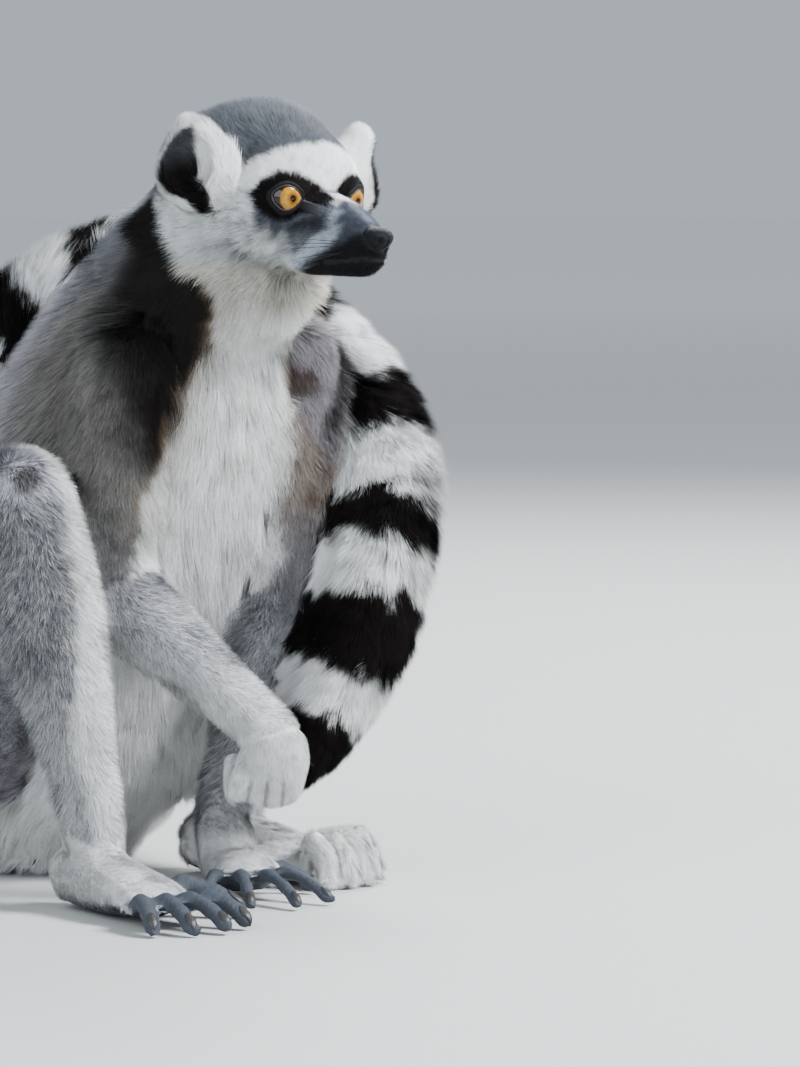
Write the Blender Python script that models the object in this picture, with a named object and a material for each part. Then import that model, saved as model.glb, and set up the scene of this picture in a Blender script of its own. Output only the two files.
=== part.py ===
"""A ring-tailed lemur, life size, sitting upright on the floor with its tail over its left shoulder.

The solids are the animal out to the tips of its coat. Lengths are in millimetres and become metres
when a mesh is made. The lemur faces -Y, its right side is at -X, and the floor is z = 0.
Each group of flesh is roughed out in overlapping tubes and balls, fused and smoothed like clay, and
then sawn apart by thin cuts at the joints.
"""

import math

import bmesh
import bpy
import numpy as np
from mathutils import Matrix, Vector

MM = 0.001
GAP = 0.4  # clear space between two neighbouring solids
ORIGIN = (-1.3, 34.3)  # the middle of the whole animal on the floor, in the body's own x and y

RIGHT, LEFT = -1, 1
WORDS = {RIGHT: "right", LEFT: "left"}

# ---- driving dimensions of a grown ring-tailed lemur ----
HEAD_CENTRE = (0.0, -35.0, 257.0)  # middle of the braincase
HEAD_TURN = -4.0  # degrees about +Z, towards the right side
HEAD_NOD = 2.0  # degrees, nose down
HEAD_TILT = 2.5  # degrees, left side down
# Lumps of the skull and the flesh on it: how far forward, out to the side and up from the middle
# of the braincase, then half axes across, along and up.
BRAINCASE = (-4, 0, 1.5), (29.5, 34.5, 29.5)
BROW = (16, 0, 3.5), (25, 19, 18.5)
CHEEK = (6, 17, -13), (16, 23, 16)
SOCKET = (22, 15, -3), (11, 10, 11.5)
# Lengths along the middle of the head: forward, up, half width, half depth.
MUZZLE = [(20, -8, 17, 15), (36, -13, 13.2, 12.4), (49, -16.5, 11, 10.6), (58, -19, 8.6, 8.2)]
JAW = [(4, -21, 17, 9), (24, -24.5, 12.5, 7.2), (41, -26, 10, 5.6), (55, -26, 7.6, 5)]
RUFF = [(-24, 2, 25, 25), (-14, -16, 28, 25), (-2, -30, 26, 22)]
NOSE_PAD = (63.0, 0, -15.6), (6.2, 4.4, 4.2)
NOSE_LIP = (62.6, 0, -19.0), (3.4, 3.8, 4.2)
EYE_RADIUS = 7.6
EYE_PLACE = (25.9, 13.9, -4.0)  # forward, to the side and up from the middle of the braincase
EYE_SPLAY = math.radians(25)  # how far each eye looks outwards
LID_OPENING = (6.6, 6.6, 5.2)
EAR_PLACE = (5.0, 39.5, 6.5)  # forward, to the side and up from the middle of the braincase
EAR_LEAF = [  # from the leaf's middle: place and half axes of its base, its upper half and its tip
    ((-0.4, 0.0, -4.0), (14.0, 8.5, 12.5)),
    ((-3.0, 0.0, 5.0), (10.5, 7.5, 11.0)),
    ((-1.5, 0.5, 12.5), (5.0, 5.0, 5.0)),
]
EAR_FACING = 42  # degrees each ear turns outwards
EAR_LEAN = 13  # degrees each ear leans outwards
EAR_ROOTS = [((-3, 2, -8), (14, 8, 13)), ((-9, 5, -5), (10, 7, 14))]  # from the leaf's middle
EAR_CUP = (-1.2, -8.8, -1.5), (10.5, 9.5, 12.0)

# Trunk and neck lie on one bent line.
TRUNK = [  # x, y, z, half width, half depth
    (0, 88, 30, 47, 46),
    (0, 76, 58, 58, 60),
    (0, 65, 100, 60, 63),
    (0, 44, 146, 56, 62),
    (0, 20, 188, 49, 54),
    (0, 1, 217, 39, 43),
    (0, -18, 238, 32, 32),
]
THROAT = (0, -36, 222), (24, 18, 24)
SHOULDER_MASS = (33, 8, 192), (22, 26, 28)
HIP_MASS = (34, 82, 46), (30, 40, 40)
NECK_CUT = (0, -2, 221)
HEAD_CUT = (0, -12, 237)
SPINE_AT_NECK = (0, -0.55, 0.83)
SPINE_AT_HEAD = (0, -0.42, 0.9)

# The tail leaves the rump, rises behind the back, comes over the left shoulder and hangs down to
# the hands.
TAIL = [  # x, y, z, radius
    (0, 112, 34, 15),
    (0, 136, 44, 16),
    (2, 150, 72, 19),
    (3, 146, 108, 22),
    (3, 132, 146, 23.5),
    (3, 112, 184, 24),
    (9, 91, 212, 24),
    (26, 69, 223, 24),
    (46, 49, 221, 24),
    (65, 31, 209, 24),
    (78, 11, 187, 24),
    (79, -9, 168, 24),
    (70, -26, 147, 24.5),
    (56, -35, 121, 24.5),
    (48, -37, 98, 23.5),
    (39, -35, 79, 22),
    (28, -34, 62, 18.5),
    (16, -33, 47, 13.5),
    (9, -31, 39, 9),
]
TAIL_LENGTHS = 5

# Arms: the right forearm hangs over the knee and the left hand is set on the floor.
ARMS = {
    RIGHT: {
        "shoulder": (-38, -1, 193),
        "elbow": (-43, 7, 114),
        "wrist": (-10, -48, 61),
    },
    LEFT: {
        "shoulder": (41, -2, 193),
        "elbow": (38, -1, 108),
        "wrist": (1, -9, 25),
    },
}
HAND_LEANS = {RIGHT: Vector((-5, -1.5, -19.5)), LEFT: Vector((-10, -27, -16))}
SHOULDER_RADII, UPPER_ARM_RADII, ELBOW_RADIUS = (21, 23), (19, 20), 17.5
FOREARM_RADII, WRIST_RADIUS = (16.5, 12.5), 10.8
PALM_LENGTH = 30
PLANTED_HAND_HEADING = -20  # degrees about +Z, from straight ahead
FINGERS = [(62, 17), (22, 34), (3, 38), (-15, 36), (-36, 30)]  # fan in degrees, length; thumb first
FINGER_RADIUS = 3.5

# Legs are folded up, with the knees at chest height and the soles on the floor.
LEGS = {
    RIGHT: {"hip": (-40, 80, 48), "knee": (-83, 6, 152), "ankle": (-70, -20, 27)},
    LEFT: {"hip": (40, 80, 48), "knee": (85, 12, 138), "ankle": (32, 19, 27)},
}
THIGH = [(0, 30, 38), (0.45, 26, 36), (0.8, 22, 26), (0.97, 18.5, 20)]  # share, half axes
SHIN = [(0.04, 20, 20), (0.38, 21, 22.5), (0.74, 15, 15.5), (1, 11.5, 12.5)]
FEET = {
    RIGHT: {"heading": -12, "big toe": 42, "curl": 0.0},
    LEFT: {"heading": 8, "big toe": -38, "curl": 0.52},
}
SOLE_LENGTH = 52  # heel to the roots of the toes
TOES = [(-17, 29), (-6, 34), (5, 33), (16, 27)]  # fan in degrees, length
TOE_RADIUS, BIG_TOE_RADIUS, BIG_TOE_LENGTH = 4.1, 5.2, 33

# How each clay is fused: grain in millimetres, rounds of smoothing, triangles kept.
BODY_CLAY, LEG_CLAY, ARM_CLAY, TAIL_CLAY = (2.2, 8, 1210), (1.7, 4, 740), (1.5, 3, 612), (2.5, 2, 530)
EAR_CLAY, NOSE_CLAY = (1.2, 3, 200), (0.8, 2, 120)

for old in list(bpy.data.objects):
    bpy.data.objects.remove(old)


# ---- materials ----
def finish(name, colour, roughness=0.85):
    material = bpy.data.materials.new(name)
    material.use_nodes = True
    shader = material.node_tree.nodes["Principled BSDF"]
    shader.inputs["Base Color"].default_value = (*colour, 1)
    shader.inputs["Roughness"].default_value = roughness
    return material


GREY_COAT = finish("grey coat", (0.33, 0.33, 0.34))
PALE_COAT = finish("pale coat", (0.62, 0.63, 0.64))
RINGED_COAT = finish("ringed coat", (0.40, 0.39, 0.38))
NOSE_LEATHER = finish("nose leather", (0.02, 0.02, 0.022), 0.4)
EYE_GLOSS = finish("eye gloss", (0.75, 0.33, 0.04), 0.1)


# ---- clay: tubes and balls ----
def smooth_rows(rows, per_span):
    """Rows of numbers on one smooth curve through the given rows (Catmull-Rom)."""
    given = np.array(rows, float)
    padded = np.vstack([2 * given[0] - given[1], given, 2 * given[-1] - given[-2]])
    found = []
    for i in range(1, len(padded) - 2):
        before, start, end, after = padded[i - 1 : i + 3]
        for t in np.arange(per_span) / per_span:
            found.append(
                start
                + t / 2 * (end - before)
                + t**2 / 2 * (2 * before - 5 * start + 4 * end - after)
                + t**3 / 2 * (3 * start - before - 3 * end + after)
            )
    found.append(given[-1])
    return np.array(found)


def add_tube(mesh, rows, across=None, sides=16):
    """A tube with domed ends. A row is x, y, z, half width, half depth; width lies along across."""
    rows = smooth_rows([r if len(r) == 5 else (*r, r[3]) for r in rows], 4)
    centres = [Vector(r[:3]) for r in rows]
    tangents = [
        (centres[min(i + 1, len(rows) - 1)] - centres[max(i - 1, 0)]).normalized()
        for i in range(len(rows))
    ]
    side = Vector(across) if across else tangents[0].orthogonal()
    rings = []

    def ring(centre, tangent, half_width, half_depth):
        nonlocal side
        side = (side - tangent * side.dot(tangent)).normalized()
        other = tangent.cross(side)
        rings.append(
            [
                mesh.verts.new(
                    centre
                    + side * half_width * math.cos(a)
                    + other * half_depth * math.sin(a)
                )
                for a in (2 * math.pi * k / sides for k in range(sides))
            ]
        )

    dome = [math.radians(a) for a in (25, 50, 72)]
    first, last = rows[0], rows[-1]
    for a in reversed(dome):
        reach = min(first[3:]) * math.sin(a)
        ring(centres[0] - tangents[0] * reach, tangents[0], *(first[3:] * math.cos(a)))
    for centre, tangent, row in zip(centres, tangents, rows):
        ring(centre, tangent, row[3], row[4])
    for a in dome:
        reach = min(last[3:]) * math.sin(a)
        ring(centres[-1] + tangents[-1] * reach, tangents[-1], *(last[3:] * math.cos(a)))
    for lower, upper in zip(rings, rings[1:]):
        for k in range(sides):
            n = (k + 1) % sides
            mesh.faces.new((lower[k], lower[n], upper[n], upper[k]))
    mesh.faces.new(rings[0][::-1])
    mesh.faces.new(rings[-1])


def add_ball(mesh, centre, radii, turn=None, sides=20):
    """An ellipsoid with half axes radii, turned by the matrix turn."""
    place = Matrix.Translation(centre) @ (turn.to_4x4() if turn else Matrix.Identity(4))
    bmesh.ops.create_uvsphere(
        mesh,
        u_segments=sides,
        v_segments=sides // 2 + 2,
        radius=1,
        matrix=place @ Matrix.Diagonal((*radii, 1)),
    )


def to_object(mesh, name, material):
    """The bmesh as an object in metres, with the origin under the middle of the animal."""
    bmesh.ops.translate(mesh, verts=mesh.verts, vec=(-ORIGIN[0], -ORIGIN[1], 0))
    bmesh.ops.scale(mesh, verts=mesh.verts, vec=(MM, MM, MM))
    bmesh.ops.recalc_face_normals(mesh, faces=mesh.faces)
    data = bpy.data.meshes.new(name)
    mesh.to_mesh(data)
    mesh.free()
    data.materials.append(material)
    thing = bpy.data.objects.new(name, data)
    bpy.context.scene.collection.objects.link(thing)
    return thing


def bake(thing):
    """Replaces the object's mesh by what its modifiers make of it."""
    bpy.context.view_layer.update()
    graph = bpy.context.evaluated_depsgraph_get()
    made = bpy.data.meshes.new_from_object(thing.evaluated_get(graph))
    thing.modifiers.clear()
    thing.data = made


def triangles_in(thing):
    thing.data.calc_loop_triangles()
    return len(thing.data.loop_triangles)


def fuse(thing, grain, rounds, triangles):
    """Turns overlapping tubes and balls into one smooth skin of about that many triangles."""
    remesh = thing.modifiers.new("clay", "REMESH")
    remesh.mode = "VOXEL"
    remesh.voxel_size = grain * MM
    soften = thing.modifiers.new("soften", "SMOOTH")
    soften.factor = 0.5
    soften.iterations = rounds
    bake(thing)
    reduce = thing.modifiers.new("reduce", "DECIMATE")
    reduce.ratio = min(1, triangles / triangles_in(thing))
    bake(thing)
    keep_largest(thing)


def cut(thing, tool):
    boolean = thing.modifiers.new("cut", "BOOLEAN")
    boolean.operation = "DIFFERENCE"
    boolean.solver = "EXACT"
    boolean.object = tool
    bake(thing)


def clear_of(thing, *others):
    """Cuts the object back until it stands GAP clear of the others."""
    for other in others:
        swollen = other.copy()
        swollen.data = other.data.copy()
        bpy.context.scene.collection.objects.link(swollen)
        swell = swollen.modifiers.new("swell", "DISPLACE")
        swell.strength = GAP * MM
        swell.mid_level = 0
        bake(swollen)
        cut(thing, swollen)
        cut(thing, other)
        bpy.data.objects.remove(swollen)
    keep_largest(thing)


def saw_blade(place, facing, radius):
    """A thin round blade at a joint, square to facing."""
    mesh = bmesh.new()
    turn = Vector(facing).to_track_quat("Z", "Y").to_matrix().to_4x4()
    bmesh.ops.create_cone(
        mesh,
        cap_ends=True,
        segments=24,
        radius1=radius,
        radius2=radius,
        depth=GAP,
        matrix=Matrix.Translation(place) @ turn,
    )
    return to_object(mesh, "blade", GREY_COAT)


def stand_flat(thing):
    """Planes off whatever reaches below the floor, which leaves small flats at z = 0."""
    mesh = bmesh.new()
    size, depth = 900.0, 60.0
    bmesh.ops.create_cube(
        mesh,
        size=1,
        matrix=Matrix.Translation((0, 0, -depth / 2)) @ Matrix.Diagonal((size, size, depth, 1)),
    )
    floor = to_object(mesh, "floor", GREY_COAT)
    cut(thing, floor)
    bpy.data.objects.remove(floor)


def loose_pieces(mesh):
    """The sets of faces that hang together, the largest first."""
    left, pieces = set(mesh.faces), []
    while left:
        piece, front = set(), [left.pop()]
        while front:
            face = front.pop()
            piece.add(face)
            near = {other for edge in face.edges for other in edge.link_faces} & left
            left -= near
            front.extend(near)
        pieces.append(piece)
    return sorted(pieces, key=len, reverse=True)


def keep_largest(thing):
    """Drops every loose crumb but the largest body."""
    mesh = bmesh.new()
    mesh.from_mesh(thing.data)
    for crumb in loose_pieces(mesh)[1:]:
        bmesh.ops.delete(mesh, geom=list({v for f in crumb for v in f.verts}), context="VERTS")
    mesh.to_mesh(thing.data)
    mesh.free()


def part_at(thing, blades, seeds):
    """Saws the object at the blades, and names each piece by the seed point nearest its middle."""
    for blade in blades:
        cut(thing, blade)
        bpy.data.objects.remove(blade)
    shift = Vector((*ORIGIN, 0))
    whole = bmesh.new()
    whole.from_mesh(thing.data)
    names = dict(seeds)
    for piece in loose_pieces(whole)[: len(seeds)]:
        points = {v for face in piece for v in face.verts}
        middle = sum((v.co for v in points), Vector()) / len(points) / MM + shift
        name = min(names, key=lambda n: (Vector(names[n]) - middle).length)
        del names[name]
        lump = bmesh.new()
        copies = {v: lump.verts.new(v.co) for v in points}
        for face in piece:
            lump.faces.new([copies[v] for v in face.verts])
        data = bpy.data.meshes.new(name)
        lump.to_mesh(data)
        lump.free()
        data.materials.append(thing.data.materials[0])
        data.shade_smooth()
        bpy.context.scene.collection.objects.link(bpy.data.objects.new(name, data))
    whole.free()
    bpy.data.objects.remove(thing)


# ---- head: braincase, brow, cheeks, muzzle, jaw and throat, in the head's own directions ----
HEAD_MATRIX = (
    Matrix.Rotation(math.radians(HEAD_TURN), 3, "Z")
    @ Matrix.Rotation(math.radians(HEAD_NOD), 3, "X")
    @ Matrix.Rotation(math.radians(HEAD_TILT), 3, "Y")
)


def on_head(forward, left, up):
    return Vector(HEAD_CENTRE) + HEAD_MATRIX @ Vector((left, -forward, up))


def head_rows(rows):
    """Rows of forward, up, half width, half depth along the head's middle plane."""
    return [(*on_head(forward, 0, up), wide, deep) for forward, up, wide, deep in rows]


SIDEWAYS = tuple(HEAD_MATRIX @ Vector((1, 0, 0)))


def add_lump(mesh, lump, side=0):
    """A ball on the head; side picks the right or the left one of a pair."""
    (forward, out, up), radii = lump
    add_ball(mesh, on_head(forward, side * out, up), radii, HEAD_MATRIX)


def add_head(mesh):
    add_lump(mesh, BRAINCASE)
    add_lump(mesh, BROW)
    for side in (RIGHT, LEFT):
        add_lump(mesh, CHEEK, side)
        add_lump(mesh, SOCKET, side)
    for length in (MUZZLE, JAW, RUFF):
        add_tube(mesh, head_rows(length), SIDEWAYS)


# ---- trunk, with the throat, the shoulders and the hips filled out, and tail ----
def add_trunk(mesh):
    add_tube(mesh, TRUNK, (1, 0, 0), sides=24)
    add_ball(mesh, *THROAT)
    for (out, back, up), radii in (SHOULDER_MASS, HIP_MASS):
        for side in (RIGHT, LEFT):
            add_ball(mesh, (side * out, back, up), radii)


def tail_station(share):
    """Middle and direction of the tail at that share of the way from root to tip."""
    line = smooth_rows(TAIL, 8)[:, :3]
    steps = np.linalg.norm(np.diff(line, axis=0), axis=1)
    along = np.concatenate([[0], np.cumsum(steps)]) / steps.sum()
    place = Vector([np.interp(share, along, line[:, k]) for k in range(3)])
    ahead = Vector([np.interp(share + 0.01, along, line[:, k]) for k in range(3)])
    return place, (ahead - place).normalized()


# ---- arms ----
def between(start, end, share):
    return tuple(Vector(start).lerp(Vector(end), share))


def add_arm(mesh, joints):
    shoulder, elbow, wrist = joints["shoulder"], joints["elbow"], joints["wrist"]
    upper = [
        (*shoulder, *SHOULDER_RADII),
        (*between(shoulder, elbow, 0.5), *UPPER_ARM_RADII),
        (*elbow, ELBOW_RADIUS, ELBOW_RADIUS),
    ]
    add_tube(mesh, upper, (1, 0, 0))
    lower = [
        (*elbow, ELBOW_RADIUS),
        (*between(elbow, wrist, 0.3), FOREARM_RADII[0]),
        (*between(elbow, wrist, 0.7), FOREARM_RADII[1]),
        (*wrist, WRIST_RADIUS),
    ]
    add_tube(mesh, lower)


# ---- hands and feet: a palm or sole and five digits ----
def level_directions(heading):
    """Ahead and to the left on the floor, for a hand or foot turned by heading degrees."""
    turn = math.radians(heading)
    return Vector((math.sin(turn), -math.cos(turn), 0)), Vector((math.cos(turn), math.sin(turn), 0))


def add_digit(mesh, knuckle, heading, lift, length, radius):
    """A digit of three bones: it rises to its middle joint by lift, then comes down to the pad."""
    run, _ = level_directions(heading)
    middle = knuckle + run * length * 0.38 + Vector((0, 0, lift))
    pad = knuckle + run * length
    pad.z = radius - 1.4
    before_pad = knuckle + run * length * 0.74
    before_pad.z = (middle.z + pad.z) / 2
    rows = [
        (*knuckle, radius * 1.15),
        (*middle, radius),
        (*before_pad, radius * 0.92),
        (*pad, radius * 1.02),
    ]
    add_tube(mesh, rows, sides=10)


def add_planted_hand(mesh, wrist):
    """A hand set down flat: the back slopes from the wrist to the knuckles."""
    run, left = level_directions(PLANTED_HAND_HEADING)
    wrist = Vector(wrist)
    heel = wrist + run * 7 - Vector((0, 0, 14))
    knuckles = wrist + run * PALM_LENGTH
    knuckles.z = 8.5
    palm = [
        (*(wrist + Vector((0, 0, 3))), WRIST_RADIUS, WRIST_RADIUS),
        (*heel.lerp(knuckles, 0.15), 12.5, 9.5),
        (*heel.lerp(knuckles, 0.62), 13.5, 8.2),
        (*knuckles, 12.5, 6.2),
    ]
    add_tube(mesh, palm, tuple(left))
    for k, (fan, length) in enumerate(FINGERS):
        out = 10 - 5 * k
        set_back = 12 if k == 0 else 2 + abs(out) * 0.3
        root = knuckles + left * out - run * set_back
        root.z = 7
        add_digit(mesh, root, PLANTED_HAND_HEADING + fan, 3.0, length, FINGER_RADIUS)


def add_foot(mesh, ankle, foot, side):
    """A long sole on the floor, four toes ahead and the stout big toe turned inwards."""
    run, left = level_directions(foot["heading"])
    heel = Vector(ankle) - run * 11
    heel.z = 12
    ball = heel + run * SOLE_LENGTH
    ball.z = 8.5
    sole = [
        (*heel, 11.5, 12.5),
        (*heel.lerp(ball, 0.35), 12.5, 12.2),
        (*heel.lerp(ball, 0.75), 14, 9.5),
        (*ball, 14, 7.5),
    ]
    add_tube(mesh, sole, tuple(left))
    reach = 1 - foot["curl"]
    lift = 3.5 + 14 * foot["curl"]
    for k, (fan, length) in enumerate(TOES):
        root = ball + left * (10.5 - 7 * k) + run * 4
        root.z = 6.5
        add_digit(mesh, root, foot["heading"] - fan, lift, length * reach, TOE_RADIUS)
    root = heel.lerp(ball, 0.62) - left * side * 10
    root.z = 7.5
    heading = foot["heading"] + foot["big toe"]
    add_digit(mesh, root, heading, 3.5, BIG_TOE_LENGTH * reach, BIG_TOE_RADIUS)


def add_hanging_hand(mesh, wrist):
    """A hand let hang from a bent wrist, its fingers curled back under the palm."""
    back = Vector(wrist) + Vector((-1, -3, -8))
    knuckles = Vector(wrist) + HAND_LEANS[RIGHT]
    palm = [
        (*wrist, WRIST_RADIUS + 0.5, WRIST_RADIUS),
        (*back, 12.5, 10.5),
        (*back.lerp(knuckles, 0.6), 13, 9.5),
        (*knuckles, 11, 7.5),
    ]
    across = Vector((0.80, -0.60, 0))
    inward = Vector((0.60, 0.80, 0))
    add_tube(mesh, palm, tuple(across))
    for k in range(4):
        out = 8.4 - 5.9 * k
        root = knuckles + across * out + Vector((0, 0, 1))
        curl = [
            (*root, 4.1),
            (*(root + inward * 8 + Vector((0, 0, -3.5))), 3.9),
            (*(root + inward * 17 + Vector((0, 0, 1.5))), 3.6),
            (*(root + inward * 18 + Vector((0, 0, 8))), 3.4),
        ]
        add_tube(mesh, curl, sides=10)
    thumb = Vector(wrist) + across * -9 + Vector((0, 0, -12))
    tip = thumb + across * -3 + inward * 13 + Vector((0, 0, -7))
    add_tube(mesh, [(*thumb, 4.6), (*thumb.lerp(tip, 0.5), 4.0), (*tip, 3.5)], sides=10)


# ---- legs ----
def add_leg(mesh, joints):
    hip, knee, ankle = joints["hip"], joints["knee"], joints["ankle"]
    thigh = [(*between(hip, knee, share), wide, deep) for share, wide, deep in THIGH]
    shin = [(*between(knee, ankle, share), wide, deep) for share, wide, deep in SHIN]
    add_tube(mesh, thigh, (1, 0, 0))
    add_tube(mesh, shin, (1, 0, 0))


def fold_blade(start, middle, end, radius):
    """A blade through a bent joint that halves its angle."""
    to_start = (Vector(start) - Vector(middle)).normalized()
    to_end = (Vector(end) - Vector(middle)).normalized()
    return saw_blade(middle, to_start - to_end, radius)


# ---- ears: cupped leaves that face forwards and outwards ----
def make_ear(side):
    """A thick leaf with a cup scooped out of its front."""
    forward, out, up = EAR_PLACE
    base = on_head(forward, side * out, up)
    turn = (
        HEAD_MATRIX
        @ Matrix.Rotation(math.radians(side * EAR_FACING), 3, "Z")
        @ Matrix.Rotation(math.radians(side * EAR_LEAN), 3, "Y")
        @ Matrix.Rotation(math.radians(-6), 3, "X")
    )
    leaf = bmesh.new()
    for (out, back, up), radii in EAR_LEAF + EAR_ROOTS:
        add_ball(leaf, base + turn @ Vector((side * out, back, up)), radii, turn)
    ear = to_object(leaf, f"ear_{WORDS[side]}", PALE_COAT)
    fuse(ear, *EAR_CLAY)
    place, radii = EAR_CUP
    scoop = bmesh.new()
    add_ball(scoop, base + turn @ Vector(place), radii, turn, sides=14)
    tool = to_object(scoop, "scoop", PALE_COAT)
    cut(ear, tool)
    bpy.data.objects.remove(tool)
    ear.data.shade_smooth()
    return ear


# ---- eyes and nose ----
def make_eye(side):
    forward, out, up = EYE_PLACE
    ball = bmesh.new()
    bmesh.ops.create_uvsphere(
        ball,
        u_segments=14,
        v_segments=9,
        radius=EYE_RADIUS,
        matrix=Matrix.Translation(on_head(forward, side * out, up)),
    )
    eye = to_object(ball, f"eye_{WORDS[side]}", EYE_GLOSS)
    eye.data.shade_smooth()
    return eye


def open_lids(head):
    """Hollows the coat in front of each eye, so that the eye looks out between its lids."""
    forward, out, up = EYE_PLACE
    for side in (RIGHT, LEFT):
        axis = Vector((math.cos(EYE_SPLAY), side * math.sin(EYE_SPLAY), 0))
        place = Vector((forward, side * out, up)) + axis * (EYE_RADIUS + 1.5)
        hollow = bmesh.new()
        add_ball(hollow, on_head(*place), LID_OPENING, HEAD_MATRIX, sides=14)
        tool = to_object(hollow, "hollow", GREY_COAT)
        cut(head, tool)
        bpy.data.objects.remove(tool)


def make_nose():
    """The bare pad at the tip of the muzzle."""
    pad = bmesh.new()
    add_lump(pad, NOSE_PAD)
    add_lump(pad, NOSE_LIP)
    nose = to_object(pad, "nose", NOSE_LEATHER)
    fuse(nose, *NOSE_CLAY)
    nose.data.shade_smooth()
    return nose


# ---- putting the animal together ----
def clay(add, name, material, settings):
    mesh = bmesh.new()
    add(mesh)
    thing = to_object(mesh, name, material)
    fuse(thing, *settings)
    return thing


def body_clay(mesh):
    add_trunk(mesh)
    add_head(mesh)


def leg_clay(side):
    def add(mesh):
        add_leg(mesh, LEGS[side])
        add_foot(mesh, LEGS[side]["ankle"], FEET[side], side)

    return add


def arm_clay(side):
    def add(mesh):
        add_arm(mesh, ARMS[side])
        if side == LEFT:
            add_planted_hand(mesh, ARMS[side]["wrist"])
        else:
            add_hanging_hand(mesh, ARMS[side]["wrist"])

    return add


def part_leg(leg, side):
    hip, knee, ankle = (LEGS[side][joint] for joint in ("hip", "knee", "ankle"))
    blades = [fold_blade(hip, knee, ankle, 170), saw_blade(ankle, (0, -0.3, 1), 26)]
    seeds = {
        f"thigh_{WORDS[side]}": between(hip, knee, 0.5),
        f"shin_{WORDS[side]}": between(knee, ankle, 0.5),
        f"foot_{WORDS[side]}": Vector(ankle) + Vector((0, -25, -18)),
    }
    part_at(leg, blades, seeds)


def part_arm(arm, side):
    shoulder, elbow, wrist = (ARMS[side][joint] for joint in ("shoulder", "elbow", "wrist"))
    knuckles = Vector(wrist) + HAND_LEANS[side]
    blades = [fold_blade(shoulder, elbow, wrist, 34), fold_blade(elbow, wrist, knuckles, 40)]
    seeds = {
        f"upper_arm_{WORDS[side]}": between(shoulder, elbow, 0.5),
        f"forearm_{WORDS[side]}": between(elbow, wrist, 0.5),
        f"hand_{WORDS[side]}": knuckles,
    }
    part_at(arm, blades, seeds)


def part_tail(tail):
    blades, seeds = [], {}
    for k in range(TAIL_LENGTHS):
        if k:
            place, facing = tail_station(k / TAIL_LENGTHS)
            blades.append(saw_blade(place, facing, 34))
        seeds[f"tail_{k + 1}"] = tail_station((k + 0.5) / TAIL_LENGTHS)[0]
    part_at(tail, blades, seeds)


def main():
    eyes = [make_eye(side) for side in (RIGHT, LEFT)]
    nose = make_nose()
    body = clay(body_clay, "body", GREY_COAT, BODY_CLAY)
    stand_flat(body)
    open_lids(body)
    clear_of(body, nose, *eyes)
    for side in (RIGHT, LEFT):
        clear_of(make_ear(side), body)

    legs, arms = {}, {}
    for side in (RIGHT, LEFT):
        legs[side] = clay(leg_clay(side), "leg", PALE_COAT, LEG_CLAY)
        stand_flat(legs[side])
        clear_of(legs[side], body)
    for side in (RIGHT, LEFT):
        arms[side] = clay(arm_clay(side), "arm", GREY_COAT, ARM_CLAY)
        stand_flat(arms[side])
        clear_of(arms[side], body, *legs.values())
    tail = clay(lambda mesh: add_tube(mesh, TAIL, sides=18), "tail", RINGED_COAT, TAIL_CLAY)
    clear_of(tail, body, *legs.values(), *arms.values())

    part_at(
        body,
        [saw_blade(NECK_CUT, SPINE_AT_NECK, 62), saw_blade(HEAD_CUT, SPINE_AT_HEAD, 58)],
        {"trunk": (0, 60, 110), "neck": (0, -8, 228), "head": HEAD_CENTRE},
    )
    for side in (RIGHT, LEFT):
        part_leg(legs[side], side)
        part_arm(arms[side], side)
    part_tail(tail)


main()
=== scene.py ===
import math

import bmesh
import bpy
import numpy as np
from mathutils import Matrix, Vector
from mathutils.bvhtree import BVHTree
from mathutils.kdtree import KDTree


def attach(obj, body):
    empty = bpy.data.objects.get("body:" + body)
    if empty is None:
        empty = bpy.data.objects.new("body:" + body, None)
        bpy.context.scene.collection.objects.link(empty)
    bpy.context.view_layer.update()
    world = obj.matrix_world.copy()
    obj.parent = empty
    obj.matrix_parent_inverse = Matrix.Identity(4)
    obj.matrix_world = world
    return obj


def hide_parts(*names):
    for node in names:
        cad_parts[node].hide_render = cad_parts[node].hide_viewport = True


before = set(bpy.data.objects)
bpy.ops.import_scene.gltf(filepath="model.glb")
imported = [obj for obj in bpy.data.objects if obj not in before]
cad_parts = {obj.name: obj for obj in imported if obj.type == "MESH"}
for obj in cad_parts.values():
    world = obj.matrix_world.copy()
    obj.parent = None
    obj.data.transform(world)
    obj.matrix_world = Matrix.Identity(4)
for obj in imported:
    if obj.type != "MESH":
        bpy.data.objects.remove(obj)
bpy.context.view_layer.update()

# ---- the studio ----
# The model stands on a sheet of matt pale paper. A big soft lamp hangs high on the camera's right,
# a weaker one fills from the left, and one from behind lights the tips of the coat. The camera has
# a long lens and looks slightly down at the animal's right front.
MM = 0.001
PAPER_REACH, PAPER_FADE = 12.0, (1.2, 7.0)
DULL_PAPER, PLAIN_PAPER, FAR_PAPER = (0.50, 0.50, 0.49), (0.54, 0.54, 0.53), (0.97, 0.97, 0.97)
AIR_COLOUR, AIR_STRENGTH = (0.78, 0.86, 0.95, 1), 0.62
AIM, CAMERA_PITCH, CAMERA_DISTANCE = Vector((52.7, -85.7, 129.6)) * MM, math.radians(4), 2100 * MM
LENS_LENGTH, SENSOR_SIZE, CLIP = 194.8, 36, (0.05, 60)
LAMP_AIM = Vector((0, -0.02, 0.13))
LAMPS = (
    ("key lamp", (0.75, -1.35, 1.5), 0.7, 126, (0.93, 0.97, 1.0)),
    ("fill lamp", (-1.7, -0.2, 0.9), 1.4, 30, (0.86, 0.94, 1.0)),
    ("rim lamp", (1.3, 0.8, 1.4), 0.7, 52, (0.95, 0.98, 1.0)),
)


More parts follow.
